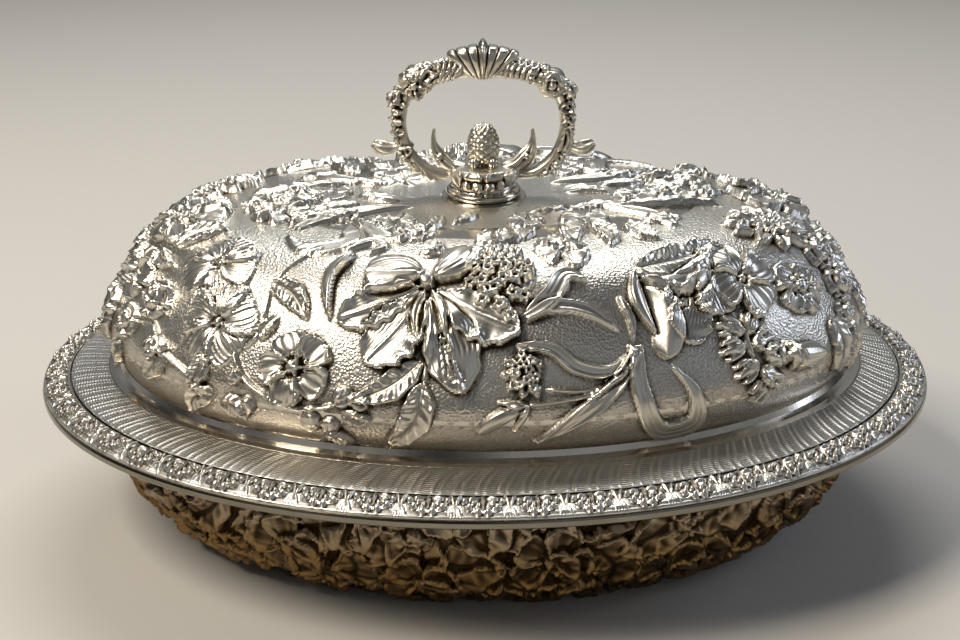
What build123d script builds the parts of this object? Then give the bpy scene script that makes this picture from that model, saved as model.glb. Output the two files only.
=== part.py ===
"""Oval covered serving dish in silver: bowl with a cast border, a high domed cover that lifts off,
and a loop handle with a cone finial that locks into the cover by a quarter turn.

Millimetres. +X runs along the dish, +Z is up, and the origin is where the bowl stands, at its centre.
Every oval of the rim is the rim's own oval drawn in by an inset. A place on the bowl or the dome is
(along, up): the way round its widest oval from the middle of the front, positive to the right, and
the way up its side from its foot."""

import os
from math import cos, hypot, pi, radians, sin, sqrt

from build123d import *

# Plan of the dish: half length and half width of the outer rim
RIM_A = 180.0
RIM_B = 133.0
SHEET = 1.3  # thickness of the raised silver

# Bowl
BOWL_INSET = 31.0  # mouth of the bowl, inside the rim
BRIM_BOTTOM = 61.4
BRIM_TOP = 62.6
WALL_FOOT = 51.0  # height where the upright wall starts to curve in
BOWL_FULLNESS = 3.0  # 2 is an ellipse, more is squarer
FLOOR_ANGLE = 52.0  # degrees along the curve at which the flat floor cuts it

# Border and plain edge of the dish
BORDER_WIDTH = 11.0
BORDER_HEIGHT = 3.4
BAND_BOTTOM = 59.4
BAND_WIDTH = 2.2

# Cover
SEAT_GAP = 0.2  # between the cover and what it stands on
EDGE_GAP = 0.7  # between the cover's edge and the border
FLANGE_EDGE_TOP = 66.3
FLANGE_INNER_INSET = 27.0
FLANGE_INNER_TOP = 68.4
MOULDING_TOP = 72.2
DOME_FOOT_INSET = 33.0
DOME_SIDES = (  # insets and heights of the outer ovals, from the foot up to the shoulder
    (DOME_FOOT_INSET, MOULDING_TOP),
    (29.5, 80.0),
    (29.0, 89.0),
    (33.5, 99.0),
    (39.0, 108.0),
    (45.5, 116.0),
    (53.5, 123.5),
)
DOME_TOP = (  # half lengths, half widths and heights of the ovals over the shoulder
    (112.0, 70.0, 129.0),
    (90.0, 56.0, 132.2),
    (60.0, 38.0, 133.6),
    (32.0, 22.0, 134.0),
)

# Lock between handle and cover
CROWN = DOME_TOP[-1][2]
SEAT_RADIUS = 17.0
SEAT_TOP = CROWN + 0.7
PLATE_RADIUS = 19.0
PLATE_TOP = CROWN - SHEET
PLATE_BOTTOM = PLATE_TOP - 1.5
KEY_HALF = 9.0
KEY_WIDTH = 6.0
KEY_THICKNESS = 2.0
KEY_TOP = PLATE_BOTTOM - 0.3
STEM_RADIUS = 4.0
HOLE_CLEARANCE = 0.4
STUD_RADIUS = 1.6
WASHER_THICKNESS = 0.8
NUT_SIZE = 8.0
NUT_THICKNESS = 3.2

# Handle
FOOT_BOTTOM = SEAT_TOP + SEAT_GAP
FOOT_RADIUS = 15.0
FOOT_TOP = FOOT_BOTTOM + 5.0
FOOT_NECK = 12.4
CALYX_TOP = FOOT_TOP + 8.5
CONE_RADIUS = 6.4
CONE_TOP = 163.6
STUD_TOP = CALYX_TOP + 8.0
LOOP_HALF_WIDTH = 32.0  # centre line of the loop
LOOP_TOP = 184.2
LOOP_FOOT = 143.0
LOOP_THICKNESS = 2.8  # half, across the loop's plane it is
LOOP_DEPTH = 3.6  # half, from front to back
CREST_HALF = 12.0
CREST_TOP = 196.0
CREST_DEPTH = 4.6
ROSE_X = 26.5
ROSE_Z = 179.2
ROSE_RADIUS = 6.0

MIRROR_SIDES = ((-1, "left"), (1, "right"))

# Raised flowers and leaves: half an outline, as shares of the length and of half the width
PETAL = ((-0.5, 0.35), (0.05, 0.95), (0.35, 0.9), (0.5, 0.35))
LEAF = ((-0.5, 0.3), (-0.15, 1.0), (0.2, 0.85), (0.5, 0.1))
STRAP = ((-0.5, 0.7), (0.25, 1.0), (0.5, 0.5))
NOTCH = 0.78  # radius between two petals, as a share of the flower's
HEART = 0.38  # radius of a flower's heart, as a share of the flower's
HEART_RISE = 1.2  # height of the heart over the petals
TOP_SHARE = 0.8  # size of a form's top, as a share of its size at the wall
ROOT = 5.0  # how far a form reaches down before it is trimmed to its wall

IRIS = (  # outline, foot, tip, width and height of each form
    (PETAL, (-23, 60), (-53, 49), 15, 4.4),
    (PETAL, (-23, 60), (-43, 35), 18, 4.8),
    (PETAL, (-20, 60), (11, 46), 17, 4.4),
    (PETAL, (-20, 59), (-8, 25), 20, 5.0),
    (PETAL, (-23, 62), (-47, 66), 14, 3.8),
    (PETAL, (-21, 62), (-12, 90), 16, 3.6),
    (LEAF, (-25, 35), (-44, 21), 11, 3.0),
    (LEAF, (-22, 27), (-34, 10), 12, 3.0),
)
STRAPS = (
    (STRAP, (20, 50), (50, 47), 8, 3.2),
    (STRAP, (24, 58), (38, 69), 8, 3.2),
    (STRAP, (22, 39), (42, 31), 7.5, 3.2),
    (STRAP, (40, 31), (58, 39), 7.5, 3.2),
    (STRAP, (58, 39), (20, 11), 6.5, 2.8),
    (STRAP, (60, 36), (68, 13), 7, 3.0),
    (STRAP, (72, 13), (70, 29), 7, 3.0),
    (STRAP, (64, 64), (68, 33), 9.5, 3.4),
    (LEAF, (16, 18), (0, 11), 9, 3.2),
)
RIGHT_LEAVES = (
    (PETAL, (92, 57), (79, 35), 15, 3.8),
    (PETAL, (93, 57), (95, 38), 14, 3.8),
    (LEAF, (104, 31), (96, 17), 10, 3.2),
    (LEAF, (104, 31), (136, 24), 13, 4.0),
    (LEAF, (76, 81), (100, 87), 10, 2.6),
    (LEAF, (162, 24), (154, 10), 10, 2.6),
)
LEFT_LEAVES = (
    (LEAF, (-84, 60), (-64, 46), 11, 3.0),
    (LEAF, (-128, 27), (-108, 20), 11, 3.0),
    (LEAF, (-110, 15), (-92, 12), 10, 2.8),
    (LEAF, (-158, 62), (-148, 84), 11, 2.8),
    (LEAF, (-181, 32), (-176, 13), 11, 2.6),
)
CROWN_LEAVES = (
    (STRAP, (-108, 117), (-76, 90), 9, 2.4),
    (STRAP, (-104, 118), (-46, 89), 9, 2.4),
    (LEAF, (86, 118), (72, 92), 9, 2.2),
    (LEAF, (108, 118), (103, 96), 9, 2.2),
    (PETAL, (-10, 98), (10, 115), 13, 2.2),
)

GLOBES = ((7, 69, 15),)  # along, up and radius
BUDS = ((14, 32, 6.4),)
RIGHT_FLOWERS = (
    (91, 55, 15),
    (113, 55, 10.5),
    (139, 48, 12),
    (163, 79, 19),
    (177, 54, 8.5),
    (176, 40, 8.5),
    (165, 32, 7),
)
LEFT_FLOWERS = (
    (-107, 39, 16),
    (-120, 66, 17),
    (-69, 29, 12.5),
    (-142, 40, 9),
    (-156, 28, 7.5),
    (-170, 43, 11.5),
    (-188, 73, 18),
)
CROWN_FLOWERS = (
    (58, 107, 12),
    (-160, 106, 10.5),
    (-52, 110, 7.5),
)
GARDENS = (
    ("iris", IRIS, GLOBES),
    ("straps", STRAPS, BUDS),
    ("blooms_right", RIGHT_LEAVES, RIGHT_FLOWERS),
    ("blooms_left", LEFT_LEAVES, LEFT_FLOWERS),
    ("crown", CROWN_LEAVES, CROWN_FLOWERS),
)
LONG_SIDES = ((0, "front"), (180, "back"))
FLOWER_HEIGHT = 3.4
BOWL_FLOWERS = 8  # large ones on each long side, high and low in turn
BOWL_FLOWER_UP = (49, 34)
BOWL_FLOWER_RADIUS = 16.0
BOWL_BUD_UP = (24, 60)
BOWL_BUD_RADIUS = 7.0
BOWL_LEAF_UP = (58, 28)
BOWL_LEAF_WIDTH = 10.0
BOWL_FORM_HEIGHT = 3.0


def level_oval(half_length, half_width, height):
    """A flat oval face at a height."""
    with BuildSketch(Plane.XY.offset(height), mode=Mode.PRIVATE) as oval:
        Ellipse(half_length, half_width)
    return oval.sketch.face()


def rim_oval(inset, height):
    """The rim's own oval, drawn in by inset, at a height."""
    return level_oval(RIM_A - inset, RIM_B - inset, height)


def oval_stack(levels, mode=Mode.ADD):
    """A solid through rim ovals, each an (inset, height), straight from one to the next."""
    for below, above in zip(levels, levels[1:]):
        if below[0] == above[0]:
            extrude(rim_oval(*below), amount=above[1] - below[1], mode=mode)
        else:
            loft([rim_oval(*below), rim_oval(*above)], ruled=True, mode=mode)


def oval_loft(ovals, mode=Mode.ADD):
    """A smooth solid through ovals, each a (half length, half width, height)."""
    loft([level_oval(*oval) for oval in ovals], mode=mode)


def tapered_scroll(points, radii, flatness):
    """A solid that follows points in the handle's plane, with an oval section of each radius."""
    faces = []
    for here, radius in enumerate(radii):
        before = Vector(*points[max(here - 1, 0)])
        after = Vector(*points[min(here + 1, len(points) - 1)])
        plane = Plane(origin=points[here], x_dir=(0, 1, 0), z_dir=after - before)
        with BuildSketch(plane, mode=Mode.PRIVATE) as section:
            Ellipse(radius * flatness, radius)
        faces.append(section.sketch.face())
    loft(faces)


def keyhole(height, amount):
    """Cuts the hole that the key drops through, across the handle's plane."""
    with BuildSketch(Plane.XY.offset(height), mode=Mode.PRIVATE) as hole:
        Circle(STEM_RADIUS + HOLE_CLEARANCE)
        Rectangle(KEY_WIDTH + 2 * HOLE_CLEARANCE, 2 * (KEY_HALF + HOLE_CLEARANCE))
    extrude(hole.sketch, amount=amount, mode=Mode.SUBTRACT)


def oval_girth(half_length, half_width):
    """The length of an oval's line, by Ramanujan's formula."""
    tall = 3 * half_length + half_width
    wide = half_length + 3 * half_width
    return pi * (3 * (half_length + half_width) - sqrt(tall * wide))


def surface_point(ovals, along, up):
    """The point that is so far along and up on the surface through ovals."""
    half_length, half_width, _ = max(ovals)
    angle = 0.0
    steps = 100
    for _ in range(steps):
        angle += along / steps / hypot(half_length * cos(angle), half_width * sin(angle))
    for below, above in zip(ovals, ovals[1:]):
        rise = hypot(above[0] - below[0], above[2] - below[2])
        if up <= rise:
            break
        up -= rise
    length, width, height = (low + (high - low) * up / rise for low, high in zip(below, above))
    return Vector(length * sin(angle), -width * cos(angle), height)


def touching_plane(ovals, foot, tip):
    """The plane that touches a surface half way from foot to tip and looks out of it, and their distance."""
    along = (foot[0] + tip[0]) / 2
    up = (foot[1] + tip[1]) / 2
    here = surface_point(ovals, along, up)
    aside = surface_point(ovals, along + 1, up) - here
    above = surface_point(ovals, along, up + 1) - here
    run = surface_point(ovals, *tip) - surface_point(ovals, *foot)
    return Plane(here, x_dir=run, z_dir=aside.cross(above)), run.length


def raised(plane, outline, height):
    """A low form with flat sides: an outline in a plane, drawn in towards its top."""
    faces = []
    for level in (-ROOT, height):
        size = 1 - (1 - TOP_SHARE) * level / height
        with BuildSketch(plane.offset(level), mode=Mode.PRIVATE) as section:
            Polygon(*[(size * x, size * y) for x, y in outline], align=None)
        faces.append(section.sketch.face())
    loft(faces, ruled=True)


def blade(ovals, half_outline, foot, tip, width, height):
    """A petal, leaf or strap from foot to tip."""
    plane, length = touching_plane(ovals, foot, tip)
    right = [(length * x, -width / 2 * y) for x, y in half_outline]
    left = [(x, -y) for x, y in reversed(right)]
    raised(plane, right + left, height)


def flower(ovals, along, up, radius, height):
    """A flower of five petals with a heart that stands over them."""
    plane, _ = touching_plane(ovals, (along - 1, up), (along + 1, up))
    petals = []
    for turn in range(10):
        reach = radius * (1, NOTCH)[turn % 2]
        petals.append((reach * cos(radians(36 * turn)), reach * sin(radians(36 * turn))))
    raised(plane, petals, height)
    raised(plane, [(HEART * x, HEART * y) for x, y in petals], height + HEART_RISE)


def save(piece, name):
    """Labels a finished piece and writes it as a node of its own."""
    piece.part.label = name
    export_step(piece.part, f"parts/{name}.step")


os.makedirs("parts", exist_ok=True)

# ---- Dish --------------------------------------------------------------------------------------

BOWL_ANGLES = (10, 19, 28, 36, 44, FLOOR_ANGLE)
bowl_power = 2 / BOWL_FULLNESS
curve_depth = WALL_FOOT / sin(radians(FLOOR_ANGLE)) ** bowl_power


def bowl_ovals(inward, top):
    """The bowl's outer shape from top down to its floor, moved inward by a thickness."""
    length = RIM_A - BOWL_INSET - inward
    width = RIM_B - BOWL_INSET - inward
    yield length, width, top
    yield length, width, WALL_FOOT + 3
    for angle in BOWL_ANGLES:
        closing = cos(radians(angle)) ** bowl_power
        drop = (curve_depth - inward) * sin(radians(angle)) ** bowl_power
        yield length * closing, width * closing, WALL_FOOT - drop


with BuildPart() as bowl_shape:
    oval_loft(bowl_ovals(0, BRIM_TOP))

with BuildPart() as dish_bowl:
    add(bowl_shape.part)
    oval_loft(bowl_ovals(SHEET, BRIM_TOP + 1), mode=Mode.SUBTRACT)
save(dish_bowl, "dish_bowl")

bowl_rising = tuple(bowl_ovals(0, BRIM_TOP))[::-1]
flower_pitch = oval_girth(RIM_A - BOWL_INSET, RIM_B - BOWL_INSET) / (2 * BOWL_FLOWERS)

with BuildPart() as bowl_flowers:
    for place in range(BOWL_FLOWERS):
        along = flower_pitch * (place + 0.5 - BOWL_FLOWERS / 2)
        low = place % 2
        flower(bowl_rising, along, BOWL_FLOWER_UP[low], BOWL_FLOWER_RADIUS, BOWL_FORM_HEIGHT)
        flower(bowl_rising, along, BOWL_BUD_UP[low], BOWL_BUD_RADIUS, BOWL_FORM_HEIGHT)
        foot, tip = ((along + flower_pitch / 2, up) for up in BOWL_LEAF_UP)
        blade(bowl_rising, LEAF, foot, tip, BOWL_LEAF_WIDTH, BOWL_FORM_HEIGHT)
for turn, side_name in LONG_SIDES:
    with BuildPart() as dish_flowers:
        add(bowl_flowers.part, rotation=(0, 0, turn))
        add(bowl_shape.part, mode=Mode.SUBTRACT)
    save(dish_flowers, f"dish_flowers_{side_name}")

with BuildPart() as dish_brim:
    oval_stack([(BAND_WIDTH, BRIM_BOTTOM), (BAND_WIDTH, BRIM_TOP)])
    middle_of_wall = BOWL_INSET + SHEET / 2
    oval_stack([(middle_of_wall, BRIM_BOTTOM - 1), (middle_of_wall, BRIM_TOP + 1)], Mode.SUBTRACT)
    add(dish_bowl.part, mode=Mode.SUBTRACT)
save(dish_brim, "dish_brim")

with BuildPart() as dish_edge_band:
    rounded = 0.7
    oval_stack(
        [
            (rounded, BAND_BOTTOM),
            (0, BAND_BOTTOM + rounded),
            (0, BRIM_TOP - rounded),
            (rounded / 2, BRIM_TOP),
        ]
    )
    oval_stack([(BAND_WIDTH, BAND_BOTTOM - 1), (BAND_WIDTH, BRIM_TOP + 1)], Mode.SUBTRACT)
save(dish_edge_band, "dish_edge_band")

with BuildPart() as dish_border:
    oval_stack(
        [
            (0.6, BRIM_TOP),
            (0.6, BRIM_TOP + 0.8),
            (2.5, BRIM_TOP + 0.62 * BORDER_HEIGHT),
            (5.5, BRIM_TOP + 0.9 * BORDER_HEIGHT),
            (9.0, BRIM_TOP + BORDER_HEIGHT),
            (BORDER_WIDTH - 1.0, BRIM_TOP + BORDER_HEIGHT),
        ]
    )
    wall = (BORDER_WIDTH, BRIM_TOP - 1), (BORDER_WIDTH, BRIM_TOP + BORDER_HEIGHT + 1)
    oval_stack(wall, Mode.SUBTRACT)
save(dish_border, "dish_border")

# ---- Cover -------------------------------------------------------------------------------------

flange_edge = BORDER_WIDTH + EDGE_GAP
flange_foot = BRIM_TOP + SEAT_GAP

with BuildPart() as cover_flange:
    oval_stack(
        [
            (flange_edge, flange_foot),
            (flange_edge, FLANGE_EDGE_TOP),
            (FLANGE_INNER_INSET, FLANGE_INNER_TOP),
        ]
    )
    oval_stack(
        [
            (flange_edge + SHEET, flange_foot - 1),
            (flange_edge + SHEET, FLANGE_EDGE_TOP - SHEET),
            (FLANGE_INNER_INSET, FLANGE_INNER_TOP - SHEET),
        ],
        Mode.SUBTRACT,
    )
    hole = (FLANGE_INNER_INSET, flange_foot), (FLANGE_INNER_INSET, FLANGE_INNER_TOP + 1)
    oval_stack(hole, Mode.SUBTRACT)
save(cover_flange, "cover_flange")

moulding_foot = FLANGE_INNER_TOP - SHEET
dome_foot_inside = DOME_FOOT_INSET + SHEET

with BuildPart() as cover_moulding:
    oval_stack(
        [
            (FLANGE_INNER_INSET, moulding_foot),
            (FLANGE_INNER_INSET, FLANGE_INNER_TOP + 0.3),
            (FLANGE_INNER_INSET + 2.0, FLANGE_INNER_TOP + 0.8),
            (DOME_FOOT_INSET - 2.0, FLANGE_INNER_TOP + 1.9),
            (DOME_FOOT_INSET - 0.8, MOULDING_TOP),
        ]
    )
    hole = (dome_foot_inside, moulding_foot - 1), (dome_foot_inside, MOULDING_TOP + 1)
    oval_stack(hole, Mode.SUBTRACT)
save(cover_moulding, "cover_moulding")


def dome_ovals(inward):
    """The dome's outer shape from its foot up to the crown, moved inward by a thickness."""
    outer = [(RIM_A - inset, RIM_B - inset, height) for inset, height in DOME_SIDES]
    for length, width, height in (*outer, *DOME_TOP):
        lowered = inward * (height - MOULDING_TOP) / (CROWN - MOULDING_TOP)
        yield length - inward, width - inward, height - lowered


with BuildPart() as dome_shape:
    oval_loft(dome_ovals(0))

with BuildPart() as cover_dome:
    add(dome_shape.part)
    oval_loft(dome_ovals(SHEET), mode=Mode.SUBTRACT)
    keyhole(PLATE_TOP - 1, CROWN - PLATE_TOP + 2)
save(cover_dome, "cover_dome")

dome_rising = tuple(dome_ovals(0))
for garden_name, blades, flowers in GARDENS:
    with BuildPart() as garden:
        for form in blades:
            blade(dome_rising, *form)
        for form in flowers:
            flower(dome_rising, *form, FLOWER_HEIGHT)
    for turn, side_name in LONG_SIDES:
        with BuildPart() as relief:
            add(garden.part, rotation=(0, 0, turn))
            add(dome_shape.part, mode=Mode.SUBTRACT)
        save(relief, f"cover_{garden_name}_{side_name}")

with BuildPart() as cover_seat:
    with BuildSketch(Plane.XY.offset(CROWN)):
        Circle(SEAT_RADIUS)
    extrude(amount=SEAT_TOP - CROWN)
    chamfer(cover_seat.faces().sort_by(Axis.Z)[-1].edges(), 0.4)
    keyhole(CROWN, SEAT_TOP - CROWN)
save(cover_seat, "cover_seat")

with BuildPart() as lock_plate:
    with BuildSketch(Plane.XY.offset(PLATE_BOTTOM)):
        Circle(PLATE_RADIUS)
    extrude(amount=PLATE_TOP - PLATE_BOTTOM)
    keyhole(PLATE_BOTTOM, PLATE_TOP - PLATE_BOTTOM)
save(lock_plate, "lock_plate")

with BuildPart() as lock_stops:
    stop_size = 4.6
    stop_centre = KEY_WIDTH / 2 + HOLE_CLEARANCE + stop_size / 2
    stop_depth = PLATE_BOTTOM - KEY_TOP + KEY_THICKNESS
    with BuildSketch(Plane.XY.offset(PLATE_BOTTOM)):
        with Locations((-stop_centre, stop_centre), (stop_centre, -stop_centre)):
            Rectangle(stop_size, stop_size)
    extrude(amount=-stop_depth)
save(lock_stops, "lock_stops")

# ---- Handle ------------------------------------------------------------------------------------

foot_ceiling = FOOT_TOP - 1.6

with BuildPart() as handle_foot:
    with BuildSketch(Plane.XZ):
        with BuildLine():
            Polyline((STUD_RADIUS, FOOT_TOP), (FOOT_NECK, FOOT_TOP))
            Line((FOOT_NECK, FOOT_TOP), (FOOT_NECK, FOOT_TOP - 0.9))
            bead = FOOT_NECK + 0.2, FOOT_TOP - 1.5
            ThreePointArc((FOOT_NECK, FOOT_TOP - 0.9), bead, (FOOT_NECK + 0.9, FOOT_TOP - 2.1))
            swell = FOOT_RADIUS, FOOT_BOTTOM + 1.5
            ThreePointArc((FOOT_NECK + 0.9, FOOT_TOP - 2.1), swell, (FOOT_RADIUS - 0.6, FOOT_BOTTOM))
            Polyline(
                (FOOT_RADIUS - 0.6, FOOT_BOTTOM),
                (FOOT_RADIUS - 2.2, FOOT_BOTTOM),
                (FOOT_NECK - 1.4, foot_ceiling),
                (STUD_RADIUS, foot_ceiling),
                (STUD_RADIUS, FOOT_TOP),
            )
        make_face()
    revolve(axis=Axis.Z)
save(handle_foot, "handle_foot")

with BuildPart() as handle_calyx:
    with BuildSketch(Plane.XZ):
        with BuildLine():
            Polyline((STUD_RADIUS, FOOT_TOP), (10.4, FOOT_TOP), (10.4, FOOT_TOP + 0.8))
            ThreePointArc((10.4, FOOT_TOP + 0.8), (12.2, FOOT_TOP + 2.8), (11.2, FOOT_TOP + 5.0))
            ThreePointArc((11.2, FOOT_TOP + 5.0), (8.6, FOOT_TOP + 6.0), (6.6, CALYX_TOP))
            Polyline((6.6, CALYX_TOP), (STUD_RADIUS, CALYX_TOP), (STUD_RADIUS, FOOT_TOP))
        make_face()
    revolve(axis=Axis.Z)
save(handle_calyx, "handle_calyx")

with BuildPart() as handle_loop:
    middle = (LOOP_TOP + LOOP_FOOT) / 2
    with BuildLine() as loop_line:
        right_side = (
            (9.0, 0, LOOP_FOOT + 0.9),
            (19.0, 0, LOOP_FOOT + 0.3),
            (28.0, 0, LOOP_FOOT + 7.0),
            (LOOP_HALF_WIDTH, 0, middle + 1.5),
            (28.0, 0, LOOP_TOP - 8.0),
            (16.0, 0, LOOP_TOP - 1.8),
        )
        left_side = tuple((-x, y, z) for x, y, z in right_side)
        Spline(*left_side, (0, 0, LOOP_TOP), *reversed(right_side))
    with BuildSketch(Plane(origin=loop_line.line @ 0, z_dir=loop_line.line % 0, x_dir=(0, 1, 0))):
        Ellipse(LOOP_DEPTH, LOOP_THICKNESS)
    sweep(path=loop_line.line)
    add(handle_calyx.part, mode=Mode.SUBTRACT)
save(handle_loop, "handle_loop")

with BuildPart() as handle_crest:
    with BuildSketch(Plane.XZ):
        with BuildLine():
            shoulder = LOOP_TOP + 5.0
            Polyline((CREST_HALF, shoulder), (CREST_HALF - 2.5, LOOP_TOP), (0, LOOP_TOP - 1.0))
            Polyline((0, LOOP_TOP - 1.0), (2.5 - CREST_HALF, LOOP_TOP), (-CREST_HALF, shoulder))
            for side in (-1, 1):
                bow = side * CREST_HALF * 0.55, CREST_TOP - 3.2
                ThreePointArc((side * CREST_HALF, shoulder), bow, (side * 1.6, CREST_TOP - 1.4))
            ThreePointArc((-1.6, CREST_TOP - 1.4), (0, CREST_TOP), (1.6, CREST_TOP - 1.4))
        make_face()
    extrude(amount=CREST_DEPTH, both=True)
    long_arcs = handle_crest.edges().filter_by(GeomType.CIRCLE).sort_by(SortBy.LENGTH)[-4:]
    chamfer(long_arcs, 0.7)
    add(handle_loop.part, mode=Mode.SUBTRACT)
save(handle_crest, "handle_crest")

for side, side_name in MIRROR_SIDES:
    with BuildPart() as handle_rose:
        with Locations((side * ROSE_X, 0, ROSE_Z)):
            Sphere(ROSE_RADIUS)
        add(handle_loop.part, mode=Mode.SUBTRACT)
        add(handle_crest.part, mode=Mode.SUBTRACT)
    save(handle_rose, f"handle_rose_{side_name}")

    with BuildPart() as handle_spur:
        spur_points = [
            (side * 31.0, 0, 156.0),
            (side * 35.0, 0, 154.0),
            (side * 38.5, 0, 152.8),
            (side * 42.0, 0, 154.6),
        ]
        tapered_scroll(spur_points, (2.3, 2.4, 1.9, 1.5), flatness=1.2)
        add(handle_loop.part, mode=Mode.SUBTRACT)
    save(handle_spur, f"handle_spur_{side_name}")

    with BuildPart() as handle_leaf:
        leaf_points = [
            (side * 9.0, 0, LOOP_FOOT + 2.0),
            (side * 14.0, 0, LOOP_FOOT + 4.4),
            (side * 18.0, 0, LOOP_FOOT + 9.0),
            (side * 19.8, 0, LOOP_FOOT + 17.4),
        ]
        tapered_scroll(leaf_points, (2.6, 2.2, 1.6, 0.7), flatness=1.3)
        add(handle_loop.part, mode=Mode.SUBTRACT)
        add(handle_calyx.part, mode=Mode.SUBTRACT)
    save(handle_leaf, f"handle_leaf_{side_name}")

with BuildPart() as handle_cone:
    with BuildSketch(Plane.XZ):
        with BuildLine():
            widest = CONE_RADIUS, CALYX_TOP + 0.44 * (CONE_TOP - CALYX_TOP)
            Spline(
                (3.6, CALYX_TOP),
                widest,
                (0.66 * CONE_RADIUS, CONE_TOP - 2.4),
                (0, CONE_TOP),
                tangents=((1, 0.4), (-1, 0)),
            )
            Polyline(
                (0, CONE_TOP),
                (0, STUD_TOP),
                (STUD_RADIUS, STUD_TOP),
                (STUD_RADIUS, CALYX_TOP),
                (3.6, CALYX_TOP),
            )
        make_face()
    revolve(axis=Axis.Z)
save(handle_cone, "handle_cone")

key_bottom = KEY_TOP - KEY_THICKNESS
washer_bottom = key_bottom - WASHER_THICKNESS
nut_bottom = washer_bottom - NUT_THICKNESS
stud_bottom = nut_bottom - 1.2

with BuildPart() as handle_stud:
    with BuildSketch(Plane.XY.offset(stud_bottom)):
        Circle(STUD_RADIUS)
    extrude(amount=STUD_TOP - stud_bottom)
    with BuildSketch(Plane.XY.offset(KEY_TOP)):
        Circle(STEM_RADIUS)
    extrude(amount=foot_ceiling - KEY_TOP)
save(handle_stud, "handle_stud")

with BuildPart() as lock_key:
    with BuildSketch(Plane.XY.offset(key_bottom)):
        Rectangle(2 * KEY_HALF, KEY_WIDTH)
        Circle(STUD_RADIUS, mode=Mode.SUBTRACT)
    extrude(amount=KEY_THICKNESS)
    fillet(lock_key.edges().filter_by(Axis.Z).filter_by(GeomType.LINE).group_by(Axis.X)[0], 1.2)
    fillet(lock_key.edges().filter_by(Axis.Z).filter_by(GeomType.LINE).group_by(Axis.X)[-1], 1.2)
save(lock_key, "lock_key")

with BuildPart() as lock_washer:
    with BuildSketch(Plane.XY.offset(washer_bottom)):
        Circle(NUT_SIZE / 2 + 0.6)
        Circle(STUD_RADIUS, mode=Mode.SUBTRACT)
    extrude(amount=WASHER_THICKNESS)
save(lock_washer, "lock_washer")

with BuildPart() as lock_nut:
    with BuildSketch(Plane.XY.offset(nut_bottom)):
        Rectangle(NUT_SIZE, NUT_SIZE)
        Circle(STUD_RADIUS, mode=Mode.SUBTRACT)
    extrude(amount=NUT_THICKNESS)
    chamfer(lock_nut.faces().sort_by(Axis.Z)[0].edges().filter_by(GeomType.LINE), 0.6)
save(lock_nut, "lock_nut")
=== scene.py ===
"""Oval covered serving dish in silver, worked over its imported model.

Lengths are in millimetres until a mesh is made, which is in metres. The bowl's and the cover's
relief is raised on fine grids of their own surfaces: a place on one is (along, up), where along is
the way round the widest oval from the middle of the front, positive to the right, and up is the way
over the surface from its foot."""

import math

import bpy
import numpy as np
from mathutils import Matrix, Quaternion, Vector


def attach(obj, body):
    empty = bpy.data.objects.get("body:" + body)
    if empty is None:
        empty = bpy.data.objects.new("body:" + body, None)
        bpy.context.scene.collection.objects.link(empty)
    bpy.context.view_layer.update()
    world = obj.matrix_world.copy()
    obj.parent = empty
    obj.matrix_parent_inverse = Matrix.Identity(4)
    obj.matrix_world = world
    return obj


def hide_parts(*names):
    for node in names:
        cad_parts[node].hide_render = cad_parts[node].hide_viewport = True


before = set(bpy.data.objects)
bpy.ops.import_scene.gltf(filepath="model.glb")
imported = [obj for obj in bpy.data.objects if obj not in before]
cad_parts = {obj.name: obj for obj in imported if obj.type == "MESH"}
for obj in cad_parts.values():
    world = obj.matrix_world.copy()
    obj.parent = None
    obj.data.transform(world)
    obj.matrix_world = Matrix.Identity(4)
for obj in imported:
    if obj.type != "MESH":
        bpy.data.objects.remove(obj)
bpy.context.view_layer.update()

MM = 0.001
TURN = 2 * math.pi

# Ovals of the bowl and the cover, as in the part's source: half length, half width, height
RIM_A = 180.0
RIM_B = 133.0
BOWL_A = RIM_A - 31.0
BOWL_B = RIM_B - 31.0
BOWL_WALL_FOOT = 51.0
BOWL_FULLNESS = 3.0
BOWL_FLOOR_ANGLE = 52.0
BOWL_BRIM = 61.4
DOME_LEVELS = (
    (147.0, 100.0, 72.2),
    (150.5, 103.5, 80.0),
    (151.0, 104.0, 89.0),
    (146.5, 99.5, 99.0),
    (141.0, 94.0, 108.0),
    (134.5, 87.5, 116.0),
    (126.5, 79.5, 123.5),
    (112.0, 70.0, 129.0),
    (90.0, 56.0, 132.2),
    (60.0, 38.0, 133.6),
    (32.0, 22.0, 134.0),
    (15.5, 15.5, 134.05),
)
STANDS_FOR = {  # the flat-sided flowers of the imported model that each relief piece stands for
    "cover_relief_1_1": ("cover_straps_back", "cover_blooms_right_back"),
    "cover_relief_1_2": ("cover_iris_front", "cover_blooms_left_front"),
    "cover_relief_1_3": ("cover_straps_front", "cover_blooms_right_front"),
    "cover_relief_1_4": ("cover_iris_back", "cover_blooms_left_back"),
    "cover_relief_2_2": ("cover_crown_front",),
    "cover_relief_2_4": ("cover_crown_back",),
    "bowl_relief_1_2": ("dish_flowers_front",),
    "bowl_relief_1_4": ("dish_flowers_back",),
}
GRID = 0.5  # pitch of the relief's grid
SKIN = 0.8  # thickness of a relief skin, whose back lies inside the plain wall behind it
FULL_RELIEF = 1.2  # relief of this height takes the whole of a groove beside it
BARE_SHARE = 0.08  # the share of a groove that is sunk into bare ground
GOLDEN_ANGLE = 2.39996  # radians from one floret of a spiral to the next
LADDER_PITCH = 1.1  # from rung to rung of the ground between the flange's ribs
LOWEST = 0.3  # no relief comes nearer than this to the table
BACK_STEP = 6  # a skin's back has one point for so many of its front
HOLLOW_REACH = 3  # how many steps of the grid are looked at to tell a hollow


# ---- Curves and surfaces -----------------------------------------------------------------------


def ease(value):
    """0 to 1 with a soft start and end."""
    held = np.clip(value, 0.0, 1.0)
    return held * held * (3 - 2 * held)


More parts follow.
